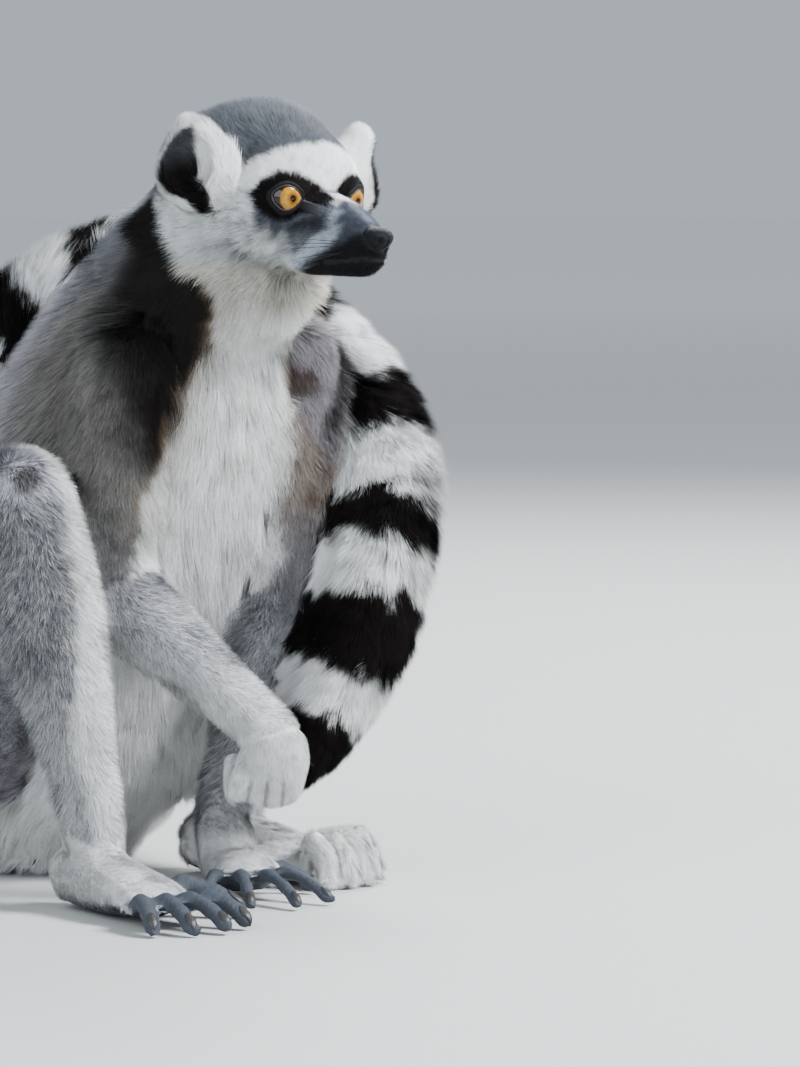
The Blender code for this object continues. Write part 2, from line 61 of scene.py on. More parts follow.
class Dial:
    """A shader value: expressions on it add Math nodes to its tree."""

    def __init__(self, tree, socket):
        self.tree, self.socket = tree, socket

    def node(self, kind, settings=None, output=None, **values):
        """One output of a new node. Settings come first, then numbers or links by socket."""
        made = self.tree.nodes.new("ShaderNode" + kind)
        for name, value in (settings or {}).items():
            if name == "stops":
                ramp = made.color_ramp
                while len(ramp.elements) < len(value):
                    ramp.elements.new(0.5)
                for element, (place, colour) in zip(ramp.elements, value):
                    element.position, element.color = place, (*colour, 1)
            else:
                setattr(made, name, value)
        for name, value in values.items():
            plug = made.inputs[int(name[1:]) if name[1:].isdigit() else name.replace("_", " ")]
            if isinstance(value, Dial):
                self.tree.links.new(value.socket, plug)
            else:
                plug.default_value = value
        return Dial(self.tree, made.outputs[output] if output else next(o for o in made.outputs if o.enabled))

    def maths(self, operation, *terms):
        return self.node("Math", {"operation": operation}, **{f"i{k}": t for k, t in enumerate(terms)})

    def __add__(self, other):
        return self.maths("ADD", self, other)

    def __mul__(self, other):
        return self.maths("MULTIPLY", self, other)

    __radd__, __rmul__ = __add__, __mul__

    def between(self, low, high):
        """0 below low, 1 above high, and an even slope between."""
        ends = {"From_Min": low, "From_Max": high, "To_Min": 0.0, "To_Max": 1.0}
        return self.node("MapRange", {"clamp": True}, Value=self, **ends)

    def blend(self, how, share, one, two):
        return self.node("Mix", {"data_type": "RGBA", "blend_type": how}, i0=share, i6=one, i7=two)

    def mix(self, one, two):
        """Colour one where this is 0 and colour two where it is 1."""
        one, two = (c if isinstance(c, Dial) else (*c, 1) for c in (one, two))
        return self.blend("MIX", self, one, two)

    def tint(self, other):
        """This colour times the other."""
        return self.blend("MULTIPLY", 1.0, self, other)

    def attribute(self, name, output="Color"):
        """What the mesh tells under a name."""
        return self.node("Attribute", {"attribute_name": name}, output)


def start_material(name, roughness, gloss, **settings):
    """A new material: a first dial on its tree, and its shader. Constants go on the shader."""
    material = bpy.data.materials.new(name)
    material.use_nodes = True
    shader = material.node_tree.nodes["Principled BSDF"]
    for key, value in {"Roughness": roughness, "Specular_IOR_Level": gloss, **settings}.items():
        shader.inputs[key.replace("_", " ")].default_value = value
    return material, Dial(material.node_tree, None), shader


def plug_in(dial, shader, name):
    dial.tree.links.new(dial.socket, shader.inputs[name])


def set_down(name, data):
    """A new object in the scene."""
    made = bpy.data.objects.new(name, data)
    bpy.context.scene.collection.objects.link(made)
    return made


paper, start, shader = start_material("pale paper", 0.9, 0.2)
near_paper = start.node("TexNoise", Scale=6.0, Detail=3.0).between(0.3, 0.7).mix(DULL_PAPER, PLAIN_PAPER)
away = start.node("VectorMath", {"operation": "LENGTH"}, "Value", i0=start.node("TexCoord", output="Object"))
plug_in(away.between(*PAPER_FADE).mix(near_paper, FAR_PAPER), shader, "Base Color")

mesh = bpy.data.meshes.new("floor")
corners = [(x * PAPER_REACH, y * PAPER_REACH, 0) for x, y in ((-1, -1), (1, -1), (1, 1), (-1, 1))]
mesh.from_pydata(corners, [], [(0, 1, 2, 3)])
mesh.materials.append(paper)
floor = set_down("floor", mesh)

room = bpy.data.worlds.new("studio air")
bpy.context.scene.world = room
room.use_nodes = True
room.node_tree.nodes["Background"].inputs["Color"].default_value = AIR_COLOUR
room.node_tree.nodes["Background"].inputs["Strength"].default_value = AIR_STRENGTH

level = -math.sqrt(0.5) * math.cos(CAMERA_PITCH)
back = Vector((level, level, math.sin(CAMERA_PITCH)))
lens = bpy.data.cameras.new("camera")
lens.sensor_fit, lens.sensor_height, lens.lens = "VERTICAL", SENSOR_SIZE, LENS_LENGTH
lens.sensor_width = SENSOR_SIZE
lens.clip_start, lens.clip_end = CLIP
camera = set_down("camera", lens)
camera.location = AIM + back * CAMERA_DISTANCE
camera.rotation_mode = "QUATERNION"
camera.rotation_quaternion = (-back).to_track_quat("-Z", "Y")
bpy.context.scene.camera = camera

for name, hung_at, size, power, colour in LAMPS:
    light = bpy.data.lights.new(name, "AREA")
    light.size, light.energy, light.color = size, power, colour
    lamp = set_down(name, light)
    lamp.location = hung_at
    lamp.rotation_euler = (LAMP_AIM - Vector(hung_at)).to_track_quat("-Z", "Y").to_euler()

# ---- the skin ----
# One hide without a seam runs over the whole animal, from the lips to the tip of the tail. It lies
# under the coat by the depth of the hair there, and is thin, dark and nearly bare on the fingers and
# toes. It is dyed with the same markings as the coat, so that none shows where the hair parts.
FORM_SHIFT = np.array((1.3, -34.3, 0.0))
HEAD_CENTRE = np.array((0.0, -35.0, 257.0)) + FORM_SHIFT
HEAD_MATRIX = np.array(
    Matrix.Rotation(math.radians(-4), 3, "Z")
    @ Matrix.Rotation(math.radians(2), 3, "X")
    @ Matrix.Rotation(math.radians(2.5), 3, "Y")
)
SIDES = (("right", -1), ("left", 1))
ARMS = {
    "right": ((-38, -1, 193), (-43, 7, 114), (-10, -48, 61)),
    "left": ((41, -2, 193), (38, -1, 108), (1, -9, 25)),
}
LEGS = {
    "right": ((-40, 80, 48), (-83, 6, 152), (-70, -20, 27)),
    "left": ((40, 80, 48), (85, 12, 138), (32, 19, 27)),
}
SPINE = (
    (0, -28, 262), (0, -18, 238), (0, 1, 217), (0, 20, 188), (0, 44, 146), (0, 65, 100), (0, 76, 58),
    (0, 88, 30),
)
TAIL = (
    (0, 112, 34), (0, 136, 44), (2, 150, 72), (3, 146, 108), (3, 132, 146), (3, 112, 184),
    (9, 91, 212), (26, 69, 223), (46, 49, 221), (65, 31, 209), (78, 11, 187), (79, -9, 168),
    (70, -26, 147), (56, -35, 121), (48, -37, 98), (39, -35, 79), (28, -34, 62), (16, -33, 47),
    (9, -31, 39),
)
SKIN_VOXEL, SWELL, SKIN_SHARE = 1.25, 0.5, 0.36
# The depth, length and width of the hair by node, in mm. The depth on head and tail goes by place.
HAIR = {
    "head": (0, 2.2, 0.22), "eye": (0.4, 2.2, 0.22), "nose": (1.2, 2.2, 0.22), "ear": (1.3, 3.4, 0.24),
    "neck": (8.0, 10.0, 0.34), "trunk": (9.0, 12.5, 0.5), "tail": (0, 18.0, 0.52),
    "upper": (6.0, 9.0, 0.42), "forearm": (3.6, 4.6, 0.36), "hand": (0.7, 2.6, 0.28),
    "thigh": (8.0, 11.0, 0.46), "shin": (4.2, 5.0, 0.38), "foot": (0.9, 2.6, 0.28),
}


def place(points):
    """Points of the animal's own frame, set in the part's frame, in mm."""
    return np.asarray(points, float) + FORM_SHIFT


def step(value, low, high):
    """A soft step from 0 at low to 1 at high."""
    share = np.clip((value - low) / (high - low), 0, 1)
    return share * share * (3 - 2 * share)


def bump(value, middle, width):
    """A soft bump, 1 at the middle."""
    return np.exp(-(((value - middle) / width) ** 2))


def unit(vectors):
    return vectors / (np.linalg.norm(vectors, axis=-1, keepdims=True) + 1e-9)


def head_way(forward, left, up):
    """A direction in the part's frame from one told on the head."""
    return HEAD_MATRIX @ np.array((left, -forward, up), float)


def on_head(forward, left, up):
    """A place in the part's frame from one told from the middle of the head."""
    return HEAD_CENTRE + head_way(forward, left, up)


def from_head(points):
    """How far forward, left and up of the middle of the head each point is."""
    local = (points - HEAD_CENTRE) @ HEAD_MATRIX
    return -local[:, 1], local[:, 0], local[:, 2]


def fine_line(points, steps):
    """A smooth line through the points, as many evenly counted places and its length at each."""
    points = place(points)
    padded = np.vstack((2 * points[0] - points[1], points, 2 * points[-1] - points[-2]))
    at = np.linspace(0, len(points) - 1 - 1e-6, steps)
    k, t = at.astype(int), (at % 1)[:, None]
    a, b, c, d = (padded[k + i] for i in range(4))
    line = 0.5 * (2 * b + (c - a) * t + (2 * a - 5 * b + 4 * c - d) * t**2 + (3 * b - a - 3 * c + d) * t**3)
    lengths = np.concatenate(([0], np.cumsum(np.linalg.norm(np.diff(line, axis=0), axis=1))))
    return line, lengths


def nearest_on(line, points):
    """For each point the number of the nearest place on the line."""
    found = np.empty(len(points), int)
    at_once = 20000
    for first in range(0, len(points), at_once):
        rows = points[first : first + at_once]
        gap = (rows**2).sum(1)[:, None] - 2 * rows @ line.T + (line**2).sum(1)
        found[first : first + at_once] = gap.argmin(1)
    return found


def mesh_of(name, points, faces):
    """A smooth mesh of triangles, from places in mm."""
    made = bpy.data.meshes.new(name)
    made.vertices.add(len(points))
    made.vertices.foreach_set("co", (points * MM).astype(np.float32).ravel())
    made.loops.add(faces.size)
    made.loops.foreach_set("vertex_index", faces.astype(np.int32).ravel())
    made.polygons.add(len(faces))
    made.polygons.foreach_set("loop_start", np.arange(len(faces), dtype=np.int32) * 3)
    made.polygons.foreach_set("use_smooth", np.ones(len(faces), bool))
    made.update(calc_edges=True)
    return made


def tell(made, name, kind, field, values):
    """A value for each point of a mesh, for its material to read."""
    layer = made.attributes.new(name, kind, "POINT")
    layer.data.foreach_set(field, values.astype(np.float32).ravel())


def arrays_of(made):
    """A mesh's points in mm and its triangles."""
    points = np.empty(len(made.vertices) * 3, np.float32)
    made.vertices.foreach_get("co", points)
    corners = np.empty(len(made.loops), np.int32)
    made.loops.foreach_get("vertex_index", corners)
    return points.reshape(-1, 3).astype(float) / MM, corners.reshape(-1, 3)


def joined(parts):
    """Several pairs of points and triangles as one pair."""
    starts = np.cumsum([0] + [len(points) for points, _ in parts])
    faces = [triangles + first for (_, triangles), first in zip(parts, starts)]
    return np.vstack([points for points, _ in parts]), np.vstack(faces)


def face_ways(points, faces):
    """The way each triangle faces, as long as twice its size."""
    first = points[faces[:, 0]]
    return np.cross(points[faces[:, 1]] - first, points[faces[:, 2]] - first)


def normals_of(points, faces):
    """The way the mesh faces at each of its points."""
    ways = face_ways(points, faces)
    total = [sum(np.bincount(faces[:, k], ways[:, axis], len(points)) for k in range(3)) for axis in range(3)]
    return unit(np.stack(total, 1))


def shown(name, made, material, replaced=()):
    """Put a mesh in the scene as a piece of the animal."""
    made.materials.append(material)
    piece = set_down(name, made)
    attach(piece, "root")
    if replaced:
        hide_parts(*replaced)
    return piece


def modified(made, kind, weights=None, **settings):
    """The mesh after one modifier, as a new mesh."""
    holder = set_down("form", made)
    if weights is not None:
        group = holder.vertex_groups.new(name="weights")
        for amount in np.unique(weights):
            group.add(np.flatnonzero(weights == amount).tolist(), float(amount), "REPLACE")
        settings["vertex_group"] = "weights"
    worker = holder.modifiers.new("work", kind)
    for key, value in settings.items():
        setattr(worker, key, value)
    result = bpy.data.meshes.new_from_object(holder.evaluated_get(bpy.context.evaluated_depsgraph_get()))
    bpy.data.objects.remove(holder)
    bpy.data.meshes.remove(made)
    return result


def tube(line, radius, sides=8, closed=False):
    """A round tube along a line, as points and triangles; radius may change along it."""
    count = len(line)
    run = unit(np.roll(line, -1, 0) - np.roll(line, 1, 0) if closed else np.gradient(line, axis=0))
    across = unit(np.cross(run, (0.13, 0.27, 0.95)))
    over = np.cross(run, across)
    turn = np.linspace(0, 2 * np.pi, sides, endpoint=False)
    size = np.broadcast_to(radius, count)[:, None, None]
    around = np.cos(turn)[:, None] * across[:, None] + np.sin(turn)[:, None] * over[:, None]
    points = (line[:, None] + size * around).reshape(-1, 3)
    faces = []
    for k in range(count if closed else count - 1):
        here, there = k * sides, ((k + 1) % count) * sides
        for j in range(sides):
            nxt = (j + 1) % sides
            faces += [(here + j, there + nxt, there + j), (here + j, here + nxt, there + nxt)]
    if not closed:
        for ring, flip in ((0, 1), ((count - 1) * sides, -1)):
            middle = len(points)
            points = np.vstack((points, points[ring : ring + sides].mean(0)))
            faces += [(middle, ring + (j + 1) % sides, ring + j)[::flip] for j in range(sides)]
    return points, np.array(faces)


def capped(line, sizes, cap=5):
    """The line and sizes with the last end rounded off like a fingertip."""
    run = unit(line[-1] - line[-2])
    angles = np.linspace(0, math.radians(86), cap + 1)[1:]
    tip = line[-1] + run * (sizes[-1] * np.sin(angles))[:, None]
    return np.vstack((line, tip)), np.concatenate((sizes, sizes[-1] * np.cos(angles)))


# Each finger and toe has two knuckles that stand out, and a round pad that stands flat on the floor.
# The tables give how far each one fans out, in degrees, and its length. A foot has its heading, the
# fan of its big toe, how far its toes are curled and which side its inner edge is on.
PLANTED_HEADING, PALM_LENGTH, FINGER_RADIUS, FINGER_GAP = -20, 30, 3.1, 5
FINGERS = ((62, 17), (22, 34), (3, 38), (-15, 36), (-36, 30))
FEET = {"right": (-12, 42, 0.0, -1), "left": (8, -38, 0.52, 1)}
SOLE_LENGTH, TOE_RADIUS, TOE_GAP, CURLED_SWELL, BIG_TOE_RADIUS, BIG_TOE_LENGTH = 52, 3.7, 7, 2.6, 4.5, 33
TOES = ((-17, 29), (-6, 34), (5, 33), (16, 27))
FIRST_KNUCKLE, NEXT_KNUCKLE, PAD_SINK = 0.38, 0.74, 0.2
DIGIT_STEPS, DIGIT_SIDES, BARE_LIMBS = 40, 20, ("hand_left", "foot_right")


def level_ways(heading):
    """The way a hand or foot points on the floor, and the way to its left."""
    turn = math.radians(heading)
    return np.array((math.sin(turn), -math.cos(turn), 0)), np.array((math.cos(turn), math.sin(turn), 0))


def digit_line(root, heading, lift, length, radius):
    """The bones of a digit set down on the floor: its middle line, in the animal's frame."""
    run, _ = level_ways(heading)
    middle = root + run * length * FIRST_KNUCKLE + np.array((0, 0, lift))
    pad = root + run * (length - 1.5)
    pad[2] = radius - PAD_SINK
    before = root + run * length * NEXT_KNUCKLE
    before[2] = (middle[2] + pad[2]) / 2 + 0.6
    return np.array((root - run * 3, root, middle, before, pad))


def smooth_digit(line, radius):
    """A digit's fine middle line and its thickness along it, in the part's frame."""
    fine, lengths = fine_line(line, DIGIT_STEPS)
    share = (lengths - 3) / (lengths[-1] - 3)
    bumps = bump(share, FIRST_KNUCKLE, 0.10) + 0.7 * bump(share, NEXT_KNUCKLE, 0.08)
    return capped(fine, radius * (0.96 - 0.12 * share + 0.2 * bumps + 0.12 * bump(share, 0.97, 0.12)))


made_digits = []
run, aside = level_ways(PLANTED_HEADING)
knuckles = np.array(ARMS["left"][2]) + run * PALM_LENGTH
for k, (fan, length) in enumerate(FINGERS):
    out = FINGER_GAP * (2 - k)
    root = knuckles + aside * out - run * (12 if k == 0 else 2 + abs(out) * 0.3)
    root[2] = 7
    line = digit_line(root, PLANTED_HEADING + fan, 3.0, length, FINGER_RADIUS)
    made_digits.append(("hand_left", *smooth_digit(line, FINGER_RADIUS)))
for side, (heading, big_toe, curl, inner) in FEET.items():
    run, aside = level_ways(heading)
    heel = np.array(LEGS[side][2]) - run * 11
    ball_of_foot = heel + run * SOLE_LENGTH
    for k, (fan, length) in enumerate(TOES):
        root = ball_of_foot + aside * (TOE_GAP * (1.5 - k)) + run * 4
        root[2] = 6.5
        line = digit_line(root, heading - fan, 3.5 + 14 * curl, length * (1 - curl), TOE_RADIUS)
        made_digits.append(("foot_" + side, *smooth_digit(line, TOE_RADIUS + CURLED_SWELL * curl)))
    root = heel + 0.62 * (ball_of_foot - heel) - aside * inner * 10
    root[2] = 7.5
    line = digit_line(root, heading + big_toe, 3.5, BIG_TOE_LENGTH * (1 - curl), BIG_TOE_RADIUS)
    made_digits.append(("foot_" + side, *smooth_digit(line, BIG_TOE_RADIUS)))

# The fingers of the hanging hand run over the knuckles of a loose fist and curl back up inside it.
FIST_DROP, FIST_FINGER, FIRST_ASIDE, FIST_GAP = np.array((-5, -1.5, -19.5)), 4.3, 8.6, 5.9
CURL_BENDS = ((7, -3.0), (16, 1.0), (18, 8))
hanging = np.array(ARMS["right"][2])
fist = hanging + FIST_DROP
aside, inward = np.array((0.80, -0.60, 0)), np.array((0.60, 0.80, 0))
for k in range(4):
    out = FIRST_ASIDE - FIST_GAP * k
    root = fist + aside * out
    back_of_hand = hanging + 0.3 * (fist - hanging) + aside * out * 0.55 - inward * 3.5
    bones = [
        root + inward * deep + np.array((0, 0, high))
        for deep, high in ((0.3 * abs(k - 1.5) - 2.6, 1.5), *CURL_BENDS)
    ]
    fine, lengths = fine_line(np.array((back_of_hand, *bones)), DIGIT_STEPS)
    share = lengths / lengths[-1]
    sizes = FIST_FINGER + 0.9 * bump(share, 0.32, 0.12) + 0.3 * bump(share, 0.6, 0.08)
    made_digits.append(("hand_right", *capped(fine, sizes)))

# The form of every node, a little swollen so that they run together, and the digits set into them.
node_names = sorted(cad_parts)
parts, face_node = [], []
for number, name in enumerate(node_names):
    points, faces = arrays_of(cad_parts[name].data)
    spots = np.round(points * 1e4).astype(int)
    _, first, same = np.unique(spots, axis=0, return_index=True, return_inverse=True)
    points, faces = points[first], same.ravel()[faces]
    parts.append((points + SWELL * normals_of(points, faces), faces))
    face_node += [number] * len(faces)
for owner_name, fine, sizes in made_digits:
    number = node_names.index(owner_name)
    if owner_name != "hand_right":
        cloud = parts[number][0]
        near = nearest_on(fine, cloud)
        gap = np.linalg.norm(cloud - fine[near], axis=1)
        draw_in = (gap < sizes[near] + 3.0) & (near > 10)
        cloud[draw_in] = fine[near[draw_in]] + 0.45 * (cloud[draw_in] - fine[near[draw_in]])
    points, faces = tube(fine, sizes, DIGIT_SIDES)
    points[:, 2] = np.maximum(points[:, 2], 0.0)
    parts.append((points, faces))
    face_node += [number] * len(faces)
all_points, all_faces = joined(parts)
face_node = np.array(face_node)
form_tree = BVHTree.FromPolygons(all_points.tolist(), all_faces.tolist())


def owners(points):
    """The number of the node of the form that each point lies on."""
    return face_node[[form_tree.find_nearest(p)[2] for p in points.tolist()]]


def named(words):
    """The nodes whose names start with one of the words."""
    return [name for name in node_names if name.startswith(tuple(words.split()))]


def is_of(owner, words):
    """Which points belong to those nodes."""
    return np.isin(owner, [node_names.index(name) for name in named(words)])


hide = modified(mesh_of("form", all_points, all_faces), "REMESH", mode="VOXEL", voxel_size=SKIN_VOXEL * MM)
hide = modified(hide, "TRIANGULATE")
owner = owners(arrays_of(hide)[0])
plainness = np.where(is_of(owner, "ear forearm shin"), 0.2, 0.4)
plainness = np.where(is_of(owner, "head eye nose hand foot"), 0.0, plainness)
hide = modified(hide, "DECIMATE", plainness, ratio=SKIN_SHARE, vertex_group_factor=1.0)

# Only the largest island of the mesh is kept, and the mesh is made finer round the eyes.
EYE_PLACE, EYE_RADIUS, EYE_SPLAY = (25.9, 13.9, -4.0), 7.6, math.radians(25)
FINER_WITHIN, SHORTEST_EDGE = (15.0, 13.0), 0.5
tiny = bmesh.new()
tiny.from_mesh(hide)
islands, seen = [], set()
for first in tiny.verts:
    if first in seen:
        continue
    seen.add(first)
    island, waiting = [], [first]
    while waiting:
        here = waiting.pop()
        island.append(here)
        for edge in here.link_edges:
            other = edge.other_vert(here)
            if other not in seen:
                seen.add(other)
                waiting.append(other)
    islands.append(island)
islands.sort(key=len)
for island in islands[:-1]:
    bmesh.ops.delete(tiny, geom=island, context="VERTS")
eyes = [Vector(on_head(EYE_PLACE[0], sign * EYE_PLACE[1], EYE_PLACE[2])) * MM for _, sign in SIDES]
for width in FINER_WITHIN:
    near = []
    for edge in tiny.edges:
        middle = (edge.verts[0].co + edge.verts[1].co) / 2
        by_eye = any((middle - eye).length < width * MM for eye in eyes)
        if by_eye and edge.calc_length() > SHORTEST_EDGE * MM:
            near.append(edge)
    bmesh.ops.subdivide_edges(tiny, edges=near, cuts=1, use_grid_fill=True)
    bmesh.ops.triangulate(tiny, faces=[f for f in tiny.faces if len(f.verts) > 3])
tiny.to_mesh(hide)
tiny.free()

skin, skin_faces = arrays_of(hide)
bpy.data.meshes.remove(hide)
owner = owners(skin)
edge_pairs = np.vstack([skin_faces[:, [a, b]] for a, b in ((0, 1), (1, 2), (2, 0))])
edge_pairs = np.unique(np.sort(edge_pairs, 1), axis=0)
ends = np.concatenate((edge_pairs[:, 0], edge_pairs[:, 1]))
others = np.concatenate((edge_pairs[:, 1], edge_pairs[:, 0]))
neighbours = np.maximum(np.bincount(ends, minlength=len(skin)), 1)[:, None]


def evened(values, rounds, share=0.5):
    """Values at the skin's points, averaged with their neighbours some rounds."""
    for _ in range(rounds):
        around = np.stack([np.bincount(ends, column[others], len(skin)) for column in values.T], 1)
        values = values + np.asarray(share).reshape(-1, 1) * (around / neighbours - values)
    return values


tail_line, tail_lengths = fine_line(TAIL, 400)
along_tail = tail_lengths[nearest_on(tail_line, skin)]
on_tail, on_face = is_of(owner, "tail"), is_of(owner, "head eye nose")
hair = np.zeros((len(skin), 3))
for word, sizes in HAIR.items():
    hair[is_of(owner, word)] = sizes

# How deep the coat is at every place.
forward, _, up = from_head(skin)
depth = np.where(on_tail, 12.5 - 6.0 * step(along_tail, 400, 515), hair[:, 0])
cheek = step(-up, 8, 20) * step(28 - forward, 0, 12)
crown_depth = 1.1 + 2.6 * step(26 - forward, 0, 14) * step(up, -4, 8)
face_depth = np.maximum(crown_depth, 1.1 + 3.8 * cheek + 2.5 * cheek * step(-up, 22, 32))
depth = np.where(is_of(owner, "head"), face_depth, depth)
depth = evened(depth[:, None], 14)[:, 0]
# How far along its finger or toe each bare place is, as a share; 0 anywhere else.
on_digit, crease = np.zeros(len(skin)), np.zeros(len(skin))
for owner_name, fine, sizes in made_digits:
    if owner_name in BARE_LIMBS:
        here = np.flatnonzero(is_of(owner, owner_name))
        near = nearest_on(fine, skin[here])
        gap = np.linalg.norm(skin[here] - fine[near], axis=1)
        margin = np.where(near > DIGIT_STEPS - 3, 4.0, 1.2)
        share = np.minimum(near / (DIGIT_STEPS - 1), 1.0) * (gap < sizes[near] + margin)
        crease[here] = np.where(share > on_digit[here], near * 1.0, crease[here])
        on_digit[here] = np.maximum(on_digit[here], share)
depth = depth + (0.2 - depth) * step(on_digit, 0.2, 0.4)

skin = skin - normals_of(skin, skin_faces) * (depth + SWELL)[:, None]
firm = np.where(is_of(owner, "head eye nose ear hand foot"), 0.12, 0.5)
firm = np.where(np.linalg.norm(skin - place(ARMS["right"][2]), axis=1) < 20, 0.5, firm)
skin = evened(skin, 6, firm)

# The line of the mouth runs back from under the nose, and the lower lip comes forward to meet the
# upper one.
LIP_FORWARD, MOUTH_DEEP, MOUTH_WIDE = 3.6, 0.45, 0.8
forward, _, up = from_head(skin)
around_mouth = is_of(owner, "head nose")
mouth = np.interp(forward, (30, 40, 50, 58, 64), (-29.5, -27.0, -25.2, -24.2, -24.0))
chin = step(forward, 43, 55) * step(mouth + 1.5 - up, -1.5, 2.5) * around_mouth
skin = skin + np.outer(LIP_FORWARD * chin, head_way(1, 0, 0))
mouth_gap = np.abs(up - mouth) + 9 * step(33 - forward, 0, 3) + 9 * ~around_mouth
groove = MOUTH_DEEP * bump(mouth_gap, 0, MOUTH_WIDE) * step(61 - forward, 0, 3)
skin = skin - normals_of(skin, skin_faces) * groove[:, None]

# The lids fold over the front of each eye and leave an opening, wider below than above.
LID_WIDE, UPPER_LID, LOWER_LID, LID_THICK = math.radians(43), math.radians(31), math.radians(40), 0.9
LID_PLACES = (0, 0.9, 1.0, 1.12, 1.42, 1.6, 2.4)
LID_HEIGHTS = np.array((-1.8, -1.8, 0.1, LID_THICK, LID_THICK + 0.2, LID_THICK + 0.3, 1.3))
FOLD_AT, FOLD_WIDE, FOLD_DEEP, LID_FADE = 1.48, 0.09, 0.55, (1.35, 2.3)


def lid_share(along, above, ahead):
    """How far from the middle of the eye's opening a direction is, with 1 at the edge of the lids."""
    lift = np.arctan2(above, ahead)
    return np.hypot(np.arctan2(along, ahead) / LID_WIDE, lift / np.where(lift > 0, UPPER_LID, LOWER_LID))


eye_frames = {}
for side, sign in SIDES:
    centre = on_head(EYE_PLACE[0], sign * EYE_PLACE[1], EYE_PLACE[2])
    axis = head_way(math.cos(EYE_SPLAY), sign * math.sin(EYE_SPLAY), 0)
    inward = head_way(math.sin(EYE_SPLAY), -sign * math.cos(EYE_SPLAY), 0)
    overhead = head_way(0, 0, 1)
    eye_frames[side] = (centre, axis, inward, overhead)
    from_eye = skin - centre
    ahead, along, above = from_eye @ axis, from_eye @ inward, from_eye @ overhead
    far = np.linalg.norm(from_eye, axis=1)
    near = np.flatnonzero((far < 19) & (ahead > 0.5))
    open_share = lid_share(along[near], above[near], ahead[near])
    lid = np.interp(open_share, LID_PLACES, EYE_RADIUS + LID_HEIGHTS)
    lid -= FOLD_DEEP * bump(open_share, FOLD_AT, FOLD_WIDE) * step(above[near], 0.5, 4)
    hold = 1 - step(open_share, *LID_FADE)
    reach = far[near] + hold * (lid - far[near])
    skin[near] = centre + from_eye[near] / far[near, None] * reach[:, None]

skin_facing = normals_of(skin, skin_faces)

# The markings, as linear colours, among them some painted shade and a painted highlight.
WHITE, PALE_GREY, CHEEK_GREY_AND_SHADE = (0.86, 0.86, 0.85), (0.46, 0.465, 0.475), (0.31, 0.335, 0.34)
GREY, DEEP_GREY, KNEE_GREY = (0.20, 0.205, 0.22), (0.085, 0.087, 0.098), (0.55, 0.55, 0.60)
CROWN_GREY, BROWN_GREY = (0.076, 0.081, 0.092), (0.150, 0.140, 0.128)
BACK_GREY, FLANK_GREY, THROAT_BEIGE_AND_SHADE = (0.30, 0.29, 0.315), (0.27, 0.25, 0.275), (0.37, 0.345, 0.30)
WARM_EDGE, WARM_SHADE, DARK_BROWN = (0.17, 0.12, 0.08), (0.27, 0.25, 0.205), (0.030, 0.018, 0.012)
CHARCOAL, BLACK, DARK_SKIN = (0.0085, 0.0080, 0.0080), (0.0035, 0.0035, 0.0038), (0.065, 0.078, 0.097)
MUZZLE, MUZZLE_GREY, BRIDGE_GREY_HIGHLIGHT = (0.0075, 0.0085, 0.0105), (0.045, 0.052, 0.066), (0.11, 0.125, 0.16)
STREAK, UNDER_EYE, EYE_SHADOW = (0.36, 0.40, 0.46), (0.030, 0.033, 0.040), (0.10, 0.11, 0.13)
# Lines between the markings, each as places on one measure and the values of the other there. On the
# head they go by how far up or forward, and round the body and shin by height and degrees.
CROWN_FRONT = (3, 6, 9, 13, 16, 19), (16.5, 16.5, 19.5, 26.6, 29.8, 32)
NAPE = (-27, -21, -13, -6), (-10.5, -16, -22, -34)
STREAK_LINE = (27.5, 33, 40, 47.8, 52.7, 54.5), (-28.3, -24.9, -20.6, -17.5, -14.0, -9.5)
BLACK_LINE = (27, 31, 39.4, 46.5, 53.4, 59.2), (-30, -29.2, -25.6, -22.4, -19.6, -15.5)
PATCH_TOP = (-12, -9.0, -3, 4.3, 9.6, 14.5, 17), (0.6, 5.8, 9.2, 9.0, 6.6, 3.2, -0.4)
PATCH_FOOT = (
    (-12, -10.8, -8.4, -2.8, 1.5, 4.2, 7.4, 11.7, 17),
    (0.6, -3, -6.5, -9.0, -8.4, -6.2, -4.4, -2.3, -0.4),
)
CUP_BACK = (-13, -11.5, -7.5, -5, -0.3, 6, 12, 17, 20), (-9, -3, 0.2, 7.5, 11.6, 10.8, 8.6, 4.2, -1.5)
CUP_FRONT = (-13, -4, 2.6, 10, 19), (-10, -7.5, -3.8, -2.0, -1.5)
WHITE_EDGE = (
    (0, 60, 108, 122, 132, 145, 157, 171, 194, 212, 224, 240, 250),
    (72, 76, 60, 34, 35, 36, 31, 30, 26, 27, 43, 61, 84),
)
LEFT_EDGE = (85, 103, 112, 122, 137, 152, 167, 185, 200), (14, 19.7, 25.8, 30.3, 27.2, 30.7, 32.6, 35.3, 60)
DARK_END = (148, 155, 167, 180, 196, 212, 230, 245), (31, 37, 44, 52, 64, 87, 106, 116)
SHIN_EDGE = (60, 82, 92, 108, 124, 137, 150), (-45, -26, -19, -7, 0, 5, 12)
# Where each black ring of the tail starts and ends, by the length along it.
RING_EDGES = (
    46, 70, 94, 118, 142, 166, 190, 214, 229, 245, 262, 284, 304, 319, 351, 378, 403, 422, 438, 469, 488, 600,
)
EAR_MIDDLE, EAR_FACING = (5.0, 39.5), math.radians(42)
spine_line, _ = fine_line(SPINE, 200)


def wandering(points, size, seed):
    """A gentle uneven value, mostly between -1 and 1, that changes over about size mm."""
    draw = np.random.default_rng(seed)
    waves = unit(draw.normal(size=(7, 3))) * (2 * np.pi / size) * draw.uniform(0.6, 1.7, (7, 1))
    return np.sin(points @ waves.T + draw.uniform(0, 6.28, 7)).sum(1) / 3.2


def painted(colour, *layers):
    """A colour with others laid over it in turn, each where its mask is 1."""
    for over, mask in layers:
        colour = colour + np.clip(mask, 0, 1)[:, None] * (np.asarray(over) - colour)
    return colour


